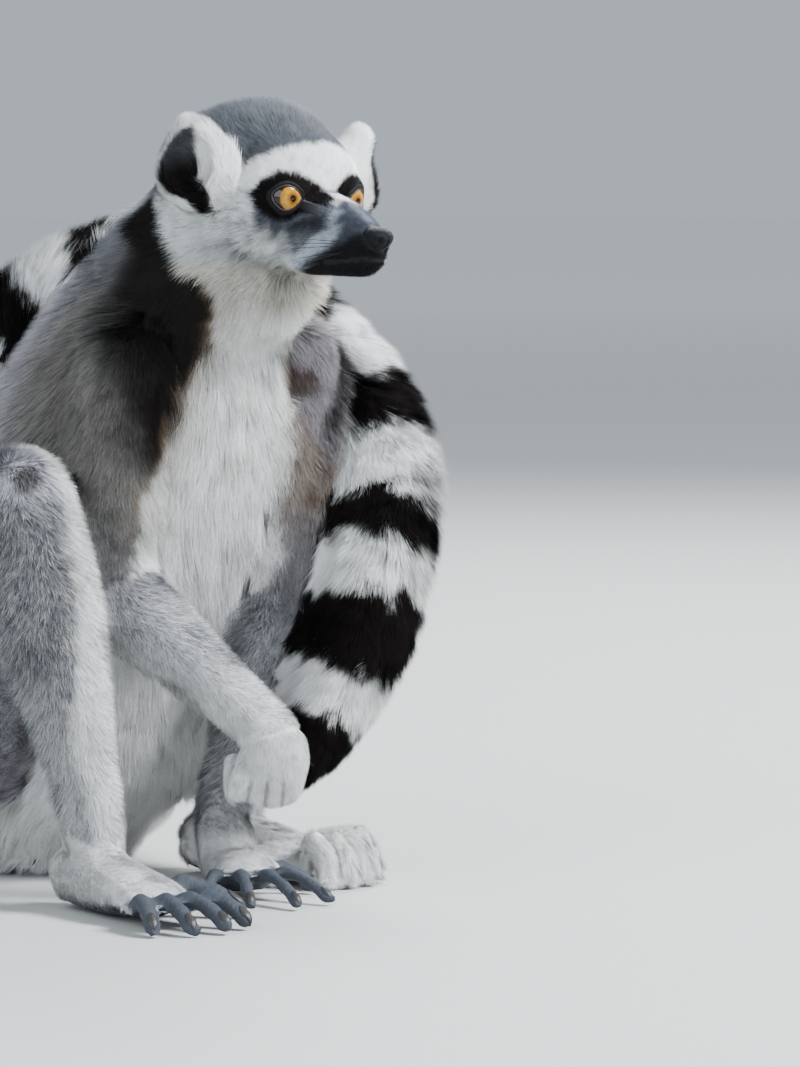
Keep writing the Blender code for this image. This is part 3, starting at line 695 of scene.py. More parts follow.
def head_markings(points, facing, owner, along):
    """White brow and cheeks, a grey crown, black round the eyes and a black muzzle with a streak."""
    forward, left, up = from_head(points)
    aside = np.abs(left)
    drift, grain = wandering(points, 9, 3), wandering(points, 2.6, 4)
    cheek = step(-up, 4, 14) * step(36 - forward, 0, 9)
    specks = step(wandering(points, 4.5, 41) + 0.5 * grain, 0.45, 1.0)
    specks = specks * step(-up, 8, 13) * step(27 - forward, 0, 5) * step(forward, -6, 4)
    by_ear = step(forward, 13, 15) * step(20.5 - forward, 0, 2) * step(aside, 26, 28)
    by_ear = by_ear * step(6 - np.abs(up + 5), -1, 3) * step(grain, -0.6, 0.4)
    front = np.interp(up, *CROWN_FRONT) + 0.8 * drift
    nape = np.interp(up, *NAPE) - forward
    # The muzzle: grey under the eye, a pale streak, and black below it and round the nose.
    streak_line = np.interp(forward, *STREAK_LINE)
    black_line = np.interp(forward, *BLACK_LINE)
    behind_eye = step(forward + 0.35 * (up + 14) + drift + 0.6 * grain, 20.0, 28.5)
    muzzle_top = np.interp(aside, (5, 8, 11, 15), (-5, -1, 2, -2))
    muzzle = behind_eye * step(muzzle_top - up, -1, 1) * step(aside, 4.2, 6.5)
    muzzle = np.maximum(muzzle, step(forward, 44.0, 46.8))
    under_eye = painted(UNDER_EYE, (GREY, 0.5 * step(-up, 13, 21) * step(47 - forward, 0, 8)))
    # Along the top of the snout the grey is lightened into a painted highlight.
    bridge_highlight = step(3.5 - aside, -1, 2.5) * step(forward, 44, 48) * step(60 - forward, 0, 4)
    gap = np.abs(up - streak_line) / np.interp(forward, (28, 36, 46, 52), (2.8, 3.3, 4.0, 3.3))
    streak = step(1.2 - gap, 0, 0.8) * step(forward, 25, 31) * step(54 - forward, 0, 5)
    streak = streak * step(aside, 4.0, 6.5)
    by_bridge = step(forward - aside, 33, 41) * step(51 - forward, 0, 4) * step(aside, 3.5, 5)
    by_bridge = by_bridge * step(-up, 6, 9) * step(up + 16, 0, 3)
    # The black patch round each eye, drawn out to a point towards the nose.
    to_nose = (forward - 32.8) * 0.42 - (aside - 17.1) * 0.906
    above, fore_part = up + 4.0, step(forward, 14, 18)
    inside = np.minimum(np.interp(to_nose, *PATCH_TOP) - above, above - np.interp(to_nose, *PATCH_FOOT))
    patch = inside + 0.35 * grain
    return painted(
        WHITE,
        # The lower cheeks turn grey: their own grey fur with painted shade low on the head.
        (CHEEK_GREY_AND_SHADE, cheek * (0.52 + 0.36 * step(drift, -0.9, 0.8))),
        (DEEP_GREY, 0.45 * specks),
        (DEEP_GREY, 0.75 * by_ear),
        # Under the chin: a warm beige-grey, partly the throat's own tone and partly painted shade.
        (THROAT_BEIGE_AND_SHADE, 0.9 * step(-up, 26, 31) * step(36 - forward, 0, 6)),
        (CROWN_GREY, step(front - forward, -1.8, 2.2) * step(up, 0.5, 4.5)),
        (CROWN_GREY, step(-10 - forward, -5, 5) * step(up, -14, -4)),
        (CHARCOAL, step(nape, -2, 3) * step(-up, 2, 9) * step(aside + 0.5 * forward + drift, -4, 10)),
        (under_eye, muzzle),
        (MUZZLE_GREY, step(forward, 44, 50) * muzzle),
        (BRIDGE_GREY_HIGHLIGHT, bridge_highlight),
        (STREAK, 0.9 * streak),
        (STREAK, 0.85 * by_bridge),
        (MUZZLE, step(black_line - up, -1.6, 1.2) * step(forward, 25.5, 29)),
        (MUZZLE, step(forward, 58.5, 61)),
        (EYE_SHADOW, 0.75 * step(patch, -3.4, -0.6) * fore_part * step(-above, -1, 6)),
        (BLACK, step(patch, -1.2, 1.0) * fore_part),
    )


def body_markings(points, facing, owner, along):
    """White under the throat, chest and belly, charcoal beside it and brown-grey to the back."""
    from_mid = points - spine_line[np.abs(points[:, 2:] - spine_line[:, 2]).argmin(1)]
    high, on_left = points[:, 2], from_mid[:, 0] > 0
    side = np.degrees(np.arctan2(np.abs(from_mid[:, 0]), -from_mid[:, 1]))
    side = side + 2.2 * wandering(points, 15, 5) + 1.5 * wandering(points, 4, 6)
    speck = wandering(points, 2.4, 16)
    edge = np.interp(np.where(is_of(owner, "upper"), np.maximum(high, 126), high), *WHITE_EDGE)
    dark = step(np.interp(high, *DARK_END) - side, -16 - 10 * step(high, 190, 225), 8) * step(high, 146, 160)
    spots = [
        step(size - np.hypot(high - height, (side - edge - 4) * 0.7), -2, 3)
        for height, size in ((187, 7.5), (142, 6.5))
    ]
    coat = painted(
        BROWN_GREY,
        (GREY, 0.5 * step(speck, 0.1, 0.9)),
        (DEEP_GREY, 0.45 * step(150 - high, 0, 25) * step(110 - side, 0, 20)),
        (BACK_GREY, step(side - 20 * step(high, 155, 195), 92, 126)),
        (CROWN_GREY, 0.75 * step(high, 205, 240) * step(side, 85, 110)),
        (CHARCOAL, 0.97 * dark * np.where(on_left, 0.55, 1)),
        (FLANK_GREY, 0.5 * on_left * step(high, 90, 120) * step(80 - side, 0, 20)),
        (DARK_BROWN, 0.85 * on_left * spots[0]),
        (DARK_BROWN, 0.85 * on_left * spots[1]),
        (WARM_EDGE, 0.55 * step(edge + 6 - side, 0, 4) * step(high, 120, 150)),
    )
    rim = step(side - edge, -3.5, 2.5)
    beyond = step(points[:, 0] + 2 * speck - np.interp(high, *LEFT_EDGE), -3, 2.5)
    beyond = beyond * step(high, 84, 96) * step(204 - high, 0, 8)
    rim = np.where(on_left, np.maximum(rim, beyond), rim)
    # A warm grey band of painted shade on the white near its edge, above the belly, fainter on the left.
    soft = 0.55 * step(side - edge, -17, -2) * step(high, 118, 135) * np.where(on_left, 0.4, 1)
    # Under the throat the white turns warm grey: its own beige tone with painted shade.
    return painted(WHITE, (WARM_SHADE, soft), (coat, rim), (THROAT_BEIGE_AND_SHADE, step(high, 192, 222) * (1 - rim) * 0.8))


def limb_grain(points):
    """Fine and broad unevenness for the limbs."""
    return wandering(points, 2.2, 8), wandering(points, 11, 9)


def outwardness(points, facing, on_left):
    """How far each point faces away from the middle of the body."""
    return facing[:, 0] * np.where(on_left, 1.0, -1.0) + 0.1 * wandering(points, 7, 7)


def forearm_markings(points, facing, owner, along):
    """Speckled grey above and white below; the left one stays grey down to the hand."""
    grain, drift = limb_grain(points)
    high, on_left = points[:, 2], is_of(owner, "forearm_left")
    outward = outwardness(points, facing, on_left)
    upper_side = step(facing[:, 2] + 0.4 * outward, -0.5, 0.3) * step(high, 62, 100)
    under_side = 0.8 * step(-facing[:, 2] - 0.2 * outward, 0.35, 0.8)
    return painted(
        WHITE,
        (PALE_GREY, 0.75 + 0.25 * step(grain, -0.5, 0.5)),
        (GREY, (0.35 + 0.5 * step(grain + 0.5 * drift, -0.2, 0.9)) * upper_side),
        (DEEP_GREY, 0.5 * step(high, 98, 118)),
        (DARK_BROWN, 0.6 * on_left * step(high + 4 * drift, 88, 98)),
        (WHITE, under_side + 0.85 * step(88 - high, 0, 25) * ~on_left),
        (GREY, (0.55 + 0.35 * step(grain, -0.4, 0.6)) * step(high, 24, 36) * on_left),
    )


def thigh_markings(points, facing, owner, along):
    """Pale inside and speckled grey outside."""
    grain, drift = limb_grain(points)
    outward = outwardness(points, facing, points[:, 0] > FORM_SHIFT[0])
    speckled = step(outward, 0.1, 0.7) * step(drift + grain, -0.6, 0.8)
    return painted(WHITE, (BACK_GREY, step(outward, -0.45, 0.0)), (GREY, 0.7 * speckled))


def shin_markings(points, facing, owner, along):
    """White in front and inside, speckled grey outside, with a dark spot under a pale knee."""
    grain, drift = limb_grain(points)
    high, out = points[:, 2], np.empty((len(points), 3))
    for name, sign in SIDES:
        knee, ankle = place(LEGS[name][1]), place(LEGS[name][2])
        bone = knee + np.clip((knee[2] - high) / (knee[2] - ankle[2]), 0, 1)[:, None] * (ankle - knee)
        turn = np.degrees(np.arctan2(-sign * (points - bone)[:, 0], -(points - bone)[:, 1])) + 3 * drift
        outer = step(np.interp(high, *SHIN_EDGE) + 5 * grain - turn, -13, 11) * step(turn + 178, 0, 25)
        spot = np.linalg.norm(points - (knee + np.array((sign * 9, -16, 2))), axis=1) + 1.5 * grain
        outside = painted(
            WHITE,
            (DEEP_GREY, 0.68 + 0.32 * step(grain, -0.5, 0.5)),
            (PALE_GREY, 0.7 * step(88 - high, 0, 36) + 0.12 * step(grain, 0.3, 0.9)),
            (KNEE_GREY, 0.9 * step(high + 2 * drift, 143, 152)),
            (DARK_BROWN, 0.8 * step(6.5 - spot, -1, 3)),
        )
        both = painted(WHITE, (outside, outer), (GREY, 0.35 * step(turn, 70, 110)))
        here = is_of(owner, "shin_" + name)
        out[here] = both[here]
    return out


def digit_gaps(points, name):
    """How far each point is from the nearest digit of a hand or foot, and from the next one."""
    lines = [fine for owner_name, fine, _ in made_digits if owner_name == name]
    gaps = [np.linalg.norm(points - fine[nearest_on(fine, points)], axis=1) for fine in lines]
    return np.sort(gaps, 0)[:2]


def hand_markings(points, facing, owner, along):
    """A white fist, greyer at the wrist and with painted shade between the fingers, and a grey planted hand.
    """
    grain, drift = limb_grain(points)
    left = is_of(owner, "hand_left")
    wrist = np.where(left[:, None], place(ARMS["left"][2]), place(ARMS["right"][2]))
    from_wrist = np.linalg.norm(points - wrist, axis=1)
    nearest, next_one = digit_gaps(points, "hand_right")
    # Grey lines between the fingers of the fist are painted shade in the gaps.
    between = step(next_one - nearest, 1.3, 0.2) * step(wrist[:, 2] - 13 - points[:, 2], 0, 5)
    pale = 0.35 * step(grain, 0, 0.8) + 0.45 * step(24 - from_wrist, 0, 14)
    back_of_hand = (0.5 + 0.35 * step(grain, -0.4, 0.6)) * step(points[:, 2] + drift, 17, 26)
    palm = np.where(left, step(-facing[:, 2], 0.5, 0.8), step(-facing[:, 2], 0.55, 0.85))
    return painted(
        WHITE,
        (PALE_GREY, np.where(left, 0.5 * step(grain, -0.2, 0.8), pale)),
        (GREY, np.where(left, back_of_hand, 0.85 * between)),
        (DARK_SKIN, palm * step(from_wrist, 22, 28)),
    )


def foot_markings(points, facing, owner, along):
    """White with dark soles, and painted shade in the folds between the curled toes of the left foot."""
    grain, drift = limb_grain(points)
    nearest, next_one = digit_gaps(points, "foot_left")
    # Dark lines between the curled toes are painted shade in the folds.
    between = step(next_one - nearest, 1.4, 0.2) * step(nearest, 4.0, 4.8) * step(12 - next_one, 0, 4)
    between = between * step(drift + 0.4 * grain, -0.5, 0.4) * is_of(owner, "foot_left")
    return painted(
        WHITE,
        (PALE_GREY, 0.35 * step(grain, 0, 0.8)),
        (DARK_SKIN, step(-facing[:, 2], 0.45, 0.75)),
        (DEEP_GREY, 0.85 * between),
    )


def ear_markings(points, facing, owner, along):
    """White outside, on the rim and on the long fur of the front edge, black deep in the cup."""
    forward, left, up = from_head(points)
    ahead, outward = math.cos(EAR_FACING), math.sin(EAR_FACING)
    back = (np.abs(left) - EAR_MIDDLE[1]) * ahead - (forward - EAR_MIDDLE[0]) * outward
    ways = [head_way(ahead, sign * outward, 0) for _, sign in SIDES]
    cup = np.where(left < 0, facing @ ways[0], facing @ ways[1])
    behind, before = np.interp(up, *CUP_BACK), np.interp(up, *CUP_FRONT)
    inside = step(np.minimum(behind - back, back - before), -0.8, 1.2) * step(cup, -0.2, 0.25)
    inside = inside * step(up, -14, -11.5)
    return painted(
        WHITE,
        # Grey on the front flap: its own grey hair with painted shade.
        (PALE_GREY, 0.55 * step(cup, 0.1, 0.5) * step(before - back, 0.5, 3) * step(8 - up, 0, 10)),
        (DEEP_GREY, inside * 0.9),
        (BLACK, inside * (0.6 + 0.4 * step(10 - up - 0.3 * back, -3, 7))),
    )


def tail_markings(points, facing, owner, along):
    """Grey at the root, then white with black rings, by the length along the tail."""
    shifted = along + 2.2 * wandering(points, 14, 12) + 1.2 * wandering(points, 4, 13)
    # Each pair of edges is the start and the end of a black ring.
    edges = [step(shifted, edge - 1.6, edge + 1.6) for edge in RING_EDGES]
    black = sum(start_edge * (1 - end_edge) for start_edge, end_edge in zip(edges[0::2], edges[1::2]))
    return painted(BACK_GREY, (WHITE, step(along, 8, 46)), (BLACK, black))


MARKINGS = {
    "trunk neck upper": body_markings, "forearm": forearm_markings, "hand": hand_markings,
    "thigh": thigh_markings, "shin": shin_markings, "foot": foot_markings,
    "ear": ear_markings, "head eye nose": head_markings, "tail": tail_markings,
}


def markings(points, facing, owner, along):
    """The dye at points that lie on the given nodes."""
    out = np.empty((len(points), 3))
    for words, dye in MARKINGS.items():
        on = is_of(owner, words)
        if on.any():
            out[on] = dye(points[on], facing[on], owner[on], along[on])
    return out


def colour_points(made, colours):
    """Tell the material of a mesh its markings."""
    layer = made.color_attributes.new("markings", "FLOAT_COLOR", "POINT")
    with_alpha = np.hstack((colours, np.ones((len(colours), 1))))
    layer.data.foreach_set("color", with_alpha.astype(np.float32).ravel())


skin_colour = evened(markings(skin, skin_facing, owner, along_tail), 3)
skin_colour = painted(skin_colour, (DARK_SKIN, step(on_digit, 0.24, 0.36)))
skin_mesh = mesh_of("skin", skin, skin_faces)
tell(skin_mesh, "crease", "FLOAT", "value", crease * step(on_digit, 0.2, 0.4))
# The hide is painted darker than its markings, most where they are dark, as shade deep under the coat.
colour_points(skin_mesh, skin_colour * np.interp(skin_colour.max(1), (0.1, 0.5), (0.8, 0.95))[:, None])

leather, start, shader = start_material("dyed hide", 0.6, 0.16)
pores = start.node("TexNoise", Scale=900.0, Detail=4.0, Roughness=0.6)
blotch = start.node("TexNoise", Scale=90.0, Detail=3.0)
shade = pores.between(0.3, 0.75).mix((0.78, 0.76, 0.75), (1.12, 1.10, 1.08))
plug_in(start.attribute("markings").tint(shade), shader, "Base Color")
creased = start.attribute("crease", "Fac")
folds = start.maths("SINE", creased * 2.6 + blotch * 5.0) * creased.between(0.0, 4.0)
relief = pores * 0.6 + blotch * 0.4 + folds * 0.25
plug_in(start.node("Bump", Strength=0.5, Distance=0.0006, Height=relief), shader, "Normal")
flesh_nodes = [n for n in node_names if not n.startswith(("eye", "nose"))]
shown("skin", skin_mesh, leather, flesh_nodes)

# ---- the eyes ----
# Blown glass eyes, painted amber behind a clear bulging front, sit deep in the lids. The iris has
# fine threads and a dark ring round it, and the small round pupil stays open. A thin black rim of
# wet skin lines each lid.
GAZE_SPLAY, GAZE_LIFT, IRIS_RADIUS, PUPIL_RADIUS, LENS_BULGE = math.radians(9), -0.07, 5.0, 1.15, 0.45
BALL_GAP, RIM_THICK, RIM_OUT, RIM_SHARE = 0.25, 0.42, 0.15, 0.98
PUPIL_BLACK, BEYOND_IRIS = (0.002, 0.002, 0.002), (0.02, 0.012, 0.010)
AMBER = (
    (0.0, (0.09, 0.022, 0.002)), (0.30, (0.20, 0.070, 0.004)), (0.58, (0.42, 0.225, 0.016)),
    (0.86, (0.34, 0.165, 0.010)), (1.0, (0.02, 0.007, 0.002)),
)

glass, start, shader = start_material(
    "amber glass eye", 0.3, 0.0, Coat_Weight=1.0, Coat_Roughness=0.02, Coat_IOR=1.4
)
off_axis = start.attribute("off_axis", "Fac")
around = start.attribute("around", "Vector")
threads = start.node("TexNoise", Vector=around, Scale=5.0, Detail=3.0, Roughness=0.6)
iris = start.node("ValToRGB", {"stops": AMBER}, Fac=off_axis * (1 / IRIS_RADIUS))
iris = iris.tint(threads.between(0.25, 0.75).mix((0.62, 0.55, 0.5), (1.25, 1.2, 1.2)))
pupil = off_axis.between(PUPIL_RADIUS - 0.15, PUPIL_RADIUS + 0.2)
white_of_eye = off_axis.between(IRIS_RADIUS - 0.1, IRIS_RADIUS + 0.5)
plug_in(white_of_eye.mix(pupil.mix(PUPIL_BLACK, iris), BEYOND_IRIS), shader, "Base Color")


def grained(name, roughness, gloss, texture, ends, dark, light, relief=None, **settings):
    """A material that wanders between two colours, with a fine relief of the same grain."""
    made, start, shader = start_material(name, roughness, gloss)
    kind, values = texture
    grain = start.node(kind, **values)
    plug_in(grain.between(*ends).mix(dark, light), shader, "Base Color")
    if relief:
        raised = start.node("Bump", settings, Strength=relief[0], Distance=relief[1], Height=grain)
        plug_in(raised, shader, "Normal")
    return made


rim_skin = grained(
    "wet lid rim", 0.3, 0.35, ("TexNoise", {"Scale": 1500.0, "Detail": 2.0}), (0.3, 0.7),
    (0.006, 0.005, 0.005), (0.016, 0.013, 0.013), (0.3, 0.0003),
)


def ball(rows, columns):
    """Unit directions over a ball about its third axis, and its triangles."""
    polar = np.linspace(0, np.pi, rows + 1)[1:-1]
    turn = np.linspace(0, 2 * np.pi, columns, endpoint=False)
    ring = np.stack((np.cos(turn), np.sin(turn)), 1)
    points = [np.array((0.0, 0.0, 1.0))]
    points += [np.array((*(ring[k] * np.sin(p)), np.cos(p))) for p in polar for k in range(columns)]
    points.append(np.array((0.0, 0.0, -1.0)))
    faces = [(0, 1 + k, 1 + (k + 1) % columns) for k in range(columns)]
    for row in range(len(polar) - 1):
        here, below = 1 + row * columns, 1 + (row + 1) * columns
        for k in range(columns):
            nxt = (k + 1) % columns
            faces += [(here + k, below + k, below + nxt), (here + k, below + nxt, here + nxt)]
    last, here = len(points) - 1, 1 + (len(polar) - 1) * columns
    faces += [(last, here + (k + 1) % columns, here + k) for k in range(columns)]
    return np.array(points), np.array(faces)


directions, ball_faces = ball(64, 72)
off = np.degrees(np.arccos(np.clip(directions[:, 2], -1, 1))) * math.radians(1) * EYE_RADIUS
bulge = LENS_BULGE * (1 - step(off, 0.8 * IRIS_RADIUS, 1.25 * IRIS_RADIUS))
around = np.hstack((unit(directions[:, :2]), off[:, None] * 0.12))
turn = np.linspace(0, 2 * np.pi, 96, endpoint=False)
wide = np.cos(turn) * LID_WIDE * RIM_SHARE + 0.08 * np.maximum(np.cos(turn), 0) ** 8
high = np.sin(turn) * np.where(np.sin(turn) > 0, UPPER_LID, LOWER_LID) * RIM_SHARE
for side, sign in SIDES:
    centre, axis, inward, overhead = eye_frames[side]
    gaze = unit(head_way(math.cos(GAZE_SPLAY), sign * math.sin(GAZE_SPLAY), GAZE_LIFT))
    aside = unit(np.cross(overhead, gaze))
    ball_points = directions @ np.stack((aside, np.cross(gaze, aside), gaze))
    ball_points = centre + ball_points * (EYE_RADIUS - BALL_GAP + bulge)[:, None]
    eye_mesh = mesh_of(f"eye {side}", ball_points, ball_faces)
    tell(eye_mesh, "off_axis", "FLOAT", "value", off)
    tell(eye_mesh, "around", "FLOAT_VECTOR", "vector", around)
    shown(f"glass_eye_{side}", eye_mesh, glass, [f"eye_{side}"])

    edge = unit(axis + np.tan(wide)[:, None] * inward + np.tan(high)[:, None] * overhead)
    rim = tube(centre + edge * (EYE_RADIUS + RIM_OUT), RIM_THICK, 10, closed=True)
    shown(f"lid_rim_{side}", mesh_of(f"lid rim {side}", *rim), rim_skin)

# ---- the nose ----
# A bare black pad of pebbled skin with two comma-shaped nostrils that curl out to the sides, split
# by a groove that runs down to the lip. It is cast separately and set into the end of the muzzle.
NOSE_PAD, PAD_RADII = (62.4, 0.0, -16.6), (6.3, 4.7, 4.1)
# Three hollows that make each nostril: forward, aside, up, size and depth.
NOSTRIL = ((4.4, 2.2, -0.4, 1.25, 1.8), (3.2, 3.3, -0.2, 0.95, 1.2), (2.0, 4.1, 0.5, 0.7, 0.7))

pad_skin = grained(
    "pebbled nose skin", 0.55, 0.14, ("TexVoronoi", {"Scale": 1700.0}), (0.1, 0.8),
    (0.003, 0.0032, 0.004), (0.008, 0.009, 0.011), (0.45, 0.0003), invert=True,
)
pad_ways, pad_faces = ball(90, 120)
local = pad_ways[:, (2, 0, 1)] * PAD_RADII
local[:, 1] *= 1 + 0.16 * step(local[:, 2], -3, 2)
dent = np.zeros(len(local))
for _, sign in SIDES:
    for ahead, aside, height, size, deep in NOSTRIL:
        gap = np.linalg.norm(local - (ahead, sign * aside, height), axis=1)
        dent = np.maximum(dent, deep * (1 - step(gap, 0.25 * size, size * 1.35)))
groove = 0.55 * bump(local[:, 1], 0, 0.42) * step(-local[:, 2], -1.2, 1.0) * step(local[:, 0], 1, 3)
local -= unit(local) * (dent + groove)[:, None]
pad_points = np.array([on_head(*(np.array(NOSE_PAD) + p)) for p in local])
shown("nose_pad", mesh_of("nose pad", pad_points, pad_faces), pad_skin, ["nose"])

# ---- the nails ----
# Each finger of the planted hand and toe of the right foot ends in a small dark nail of horn, arched
# over the tip and bent down a little at its point. It is carved as one thin shell and glued on.
NAIL_HALF, NAIL_WIDE, NAIL_THICK, NAIL_AT = 3.3, 1.6, 0.32, DIGIT_STEPS - 2

horn = grained(
    "dark horn", 0.38, 0.4, ("TexNoise", {"Scale": 700.0, "Detail": 2.0}), (0.3, 0.7),
    (0.014, 0.013, 0.013), (0.045, 0.042, 0.040), (0.2, 0.0002),
)
nail_ways, nail_faces = ball(14, 20)
ahead, beside, above = nail_ways[:, 2], nail_ways[:, 0], nail_ways[:, 1]
nails = []
for owner_name, fine, sizes in made_digits:
    if owner_name in BARE_LIMBS:
        run = unit(fine[NAIL_AT + 1] - fine[NAIL_AT - 5])
        over = unit(np.array((0, 0, 1.0)) - run[2] * run)
        across = np.cross(run, over)
        flesh = sizes[NAIL_AT] - SWELL - 0.2
        size = sizes[NAIL_AT] / FINGER_RADIUS
        out = beside * NAIL_WIDE * size * (1 - 0.5 * step(ahead, 0, 1.1))
        rise = above * NAIL_THICK - out**2 / (2.1 * flesh) - 1.5 * np.maximum(ahead, 0) ** 2 * size
        middle = fine[NAIL_AT] + over * (flesh + 0.05)
        nail = middle + np.outer(ahead * NAIL_HALF * size, run) + np.outer(out, across) + np.outer(rise, over)
        nails.append((nail, nail_faces))
shown("nails", mesh_of("nails", *joined(nails)), horn)

# ---- the whiskers ----
# A few stiff black hairs stand out and back from each side of the upper lip. Each is a tapered
# bristle set in the hide.
WHISKER_THICK, WHISKER_DROOP = 0.17, 0.22
# Where each is rooted, forward, aside and up; its length; and how far it leans back and up.
WHISKERS = (
    (54, 6.5, -19, 17, 0.55, 0.12), (51, 7.6, -19.5, 19, 0.65, 0.02), (48, 8.5, -20.5, 18, 0.75, -0.08),
    (53, 6.6, -22, 14, 0.55, -0.35), (50, 7.6, -22.5, 15, 0.65, -0.30), (46, 9.0, -23, 14, 0.8, -0.28),
)

bristle = grained(
    "black bristle", 0.45, 0.3, ("TexNoise", {"Scale": 300.0, "Detail": 2.0}), (0.3, 0.7),
    (0.006, 0.006, 0.006), (0.02, 0.018, 0.017),
)
share = np.linspace(0, 1, 8)[:, None]
whiskers = []
for _, sign in SIDES:
    for forward, aside, up, length, back, rise in WHISKERS:
        away = unit(head_way(-back, sign, rise))
        droop = head_way(-0.5, 0, -0.35)
        line = on_head(forward, sign * aside, up) + away * length * share
        line = line + droop * WHISKER_DROOP * length * share**2
        whiskers.append(tube(line, WHISKER_THICK * (1 - 0.85 * share[:, 0]), 5))
shown("whiskers", mesh_of("whiskers", *joined(whiskers)), bristle)

# ---- the coat ----
# Dense soft fur: every hair is a thin tapering strand rooted in the hide, that leaves it at a slant
# and lies back along the body in the way the hair grows. Neighbours lean together into loose locks.
# It is longest on the tail, cheeks and flanks and shortest on the face, hands and feet.
chance = np.random.default_rng(11)


def along_hide(way, facing):
    """A way laid down flat on a surface that faces another."""
    return unit(way - (way * facing).sum(1)[:, None] * facing)


def growth():
    """The way the hair points at every place on the skin."""
    way = np.zeros_like(skin)
    at_spine = nearest_on(spine_line, skin)
    outward = skin - spine_line[at_spine]
    outward[:, 1] *= 0.4
    body = unit(np.gradient(spine_line, axis=0))[at_spine] + 0.22 * unit(outward) + np.array((0, 0, -0.35))
    on_body = is_of(owner, "trunk neck")
    way[on_body] = body[on_body]
    way[on_tail] = unit(np.gradient(tail_line, axis=0))[nearest_on(tail_line, skin[on_tail])]
    for name, sign in SIDES:
        shoulder, elbow, wrist = (place(p) for p in ARMS[name])
        hip, knee, ankle = (place(p) for p in LEGS[name])
        runs = {
            "upper_arm_": elbow - shoulder,
            "forearm_": wrist - elbow,
            "hand_": (0, -0.1, -1) if name == "right" else (-0.3, -1, -0.2),
            "thigh_": knee - hip + np.array((0, 0, -60)),
            "shin_": ankle - knee,
            "foot_": (-0.15, -1, -0.1),
        }
        for word, run in runs.items():
            way[is_of(owner, word + name)] = unit(np.array(run))
        ear = is_of(owner, "ear_" + name)
        way[ear] = unit(skin[ear] - on_head(2, sign * 27, -4))
    forward, left, up = from_head(skin[on_face])
    back = unit(skin[on_face] - on_head(66, 0, -14))
    fluff = step(-up, 5, 18) * step(26 - forward, 0, 14)
    outward = np.outer(np.sign(left), head_way(0, 1, 0)) + head_way(-0.3, 0, -0.55)
    way[on_face] = back + 0.7 * fluff[:, None] * outward
    for centre, axis, _, _ in eye_frames.values():
        from_eye = skin[on_face] - centre
        near_eye = 1 - step(np.linalg.norm(from_eye, axis=1), 8, 15)
        away = unit(from_eye - (from_eye @ axis)[:, None] * axis)
        way[on_face] = unit(way[on_face]) + 1.2 * near_eye[:, None] * away
    way = unit(way)
    for _ in range(6):
        way = along_hide(evened(way, 4), skin_facing)
    return way


hair_way = growth()
skin_tree = BVHTree.FromPolygons(skin.tolist(), skin_faces.tolist())
triangle_size = 0.5 * np.linalg.norm(face_ways(skin, skin_faces), axis=1)

# The hair is longer on cheeks, crown, chest and the hanging wrist, and shorter on the snout and at
# the tip of the tail.
hair_length, hair_width = evened(hair[:, 1:], 10).T
forward, _, up = from_head(skin)
cheek_here = step(-up, 6, 20) * step(26 - forward, 0, 14)
crown_here = step(24 - forward, 0, 14) * step(up, -6, 8)
snout = on_face * step(forward, 34, 58)
hair_length = hair_length + on_face * (6.0 * cheek_here + 2.2 * crown_here) - 1.6 * snout
hair_width = hair_width + on_face * 0.10 * np.maximum(cheek_here, crown_here) - 0.03 * snout
hair_length = np.where(on_tail, hair_length - 8 * step(along_tail, 430, 516), hair_length)
chest = is_of(owner, "trunk neck") * step(210 - skin[:, 2], 0, 25) * step(skin[:, 2], 85, 110)
chest = chest * step(-skin_facing[:, 1], 0.45, 0.8)
at_wrist = is_of(owner, "hand") * step(20 - np.linalg.norm(skin - place(ARMS["right"][2]), axis=1), 0, 12)
hair_length = hair_length + 6.0 * chest + 1.6 * at_wrist

# Bare places: the eyes inside the lids, the nose pad, the mouth, the soles, and the fingers and toes.
furred = np.ones(len(skin))
for centre, axis, inward, overhead in eye_frames.values():
    from_eye = skin - centre
    share = lid_share(from_eye @ inward, from_eye @ overhead, np.maximum(from_eye @ axis, 0.5))
    furred[(share < 1.14) & (np.linalg.norm(from_eye, axis=1) < 14)] = 0
pad_gap = np.linalg.norm((skin - on_head(*NOSE_PAD)) @ HEAD_MATRIX / np.array((5.2, 6.6, 4.9)), axis=1)
furred[pad_gap < 1] = 0
furred[mouth_gap < 0.35] = 0
furred[is_of(owner, "hand foot") & (skin_facing[:, 2] < -0.75)] = 0
furred *= 1 - step(on_digit, 0.16, 0.48)


def coat_dye(name, dullest):
    """The coat's colour comes from its markings, with a slight uneven bloom."""
    made, start, shader = start_material(name, 0.8, 0.06)
    bloom = start.node("TexNoise", Scale=160.0, Detail=3.0).between(0.3, 0.7)
    dyed = start.attribute("markings").tint(bloom.mix((dullest,) * 3, (1.08,) * 3))
    plug_in(dyed, shader, "Base Color")
    return made


def of_skin(places):
    """The nearest places on the skin, the way it faces there and its triangles."""
    found = [skin_tree.find_nearest(p) for p in places.tolist()]
    near, number = np.array([tuple(f[0]) for f in found]), np.array([f[2] for f in found])
    return near, unit(skin_facing[skin_faces[number]].mean(1)), number


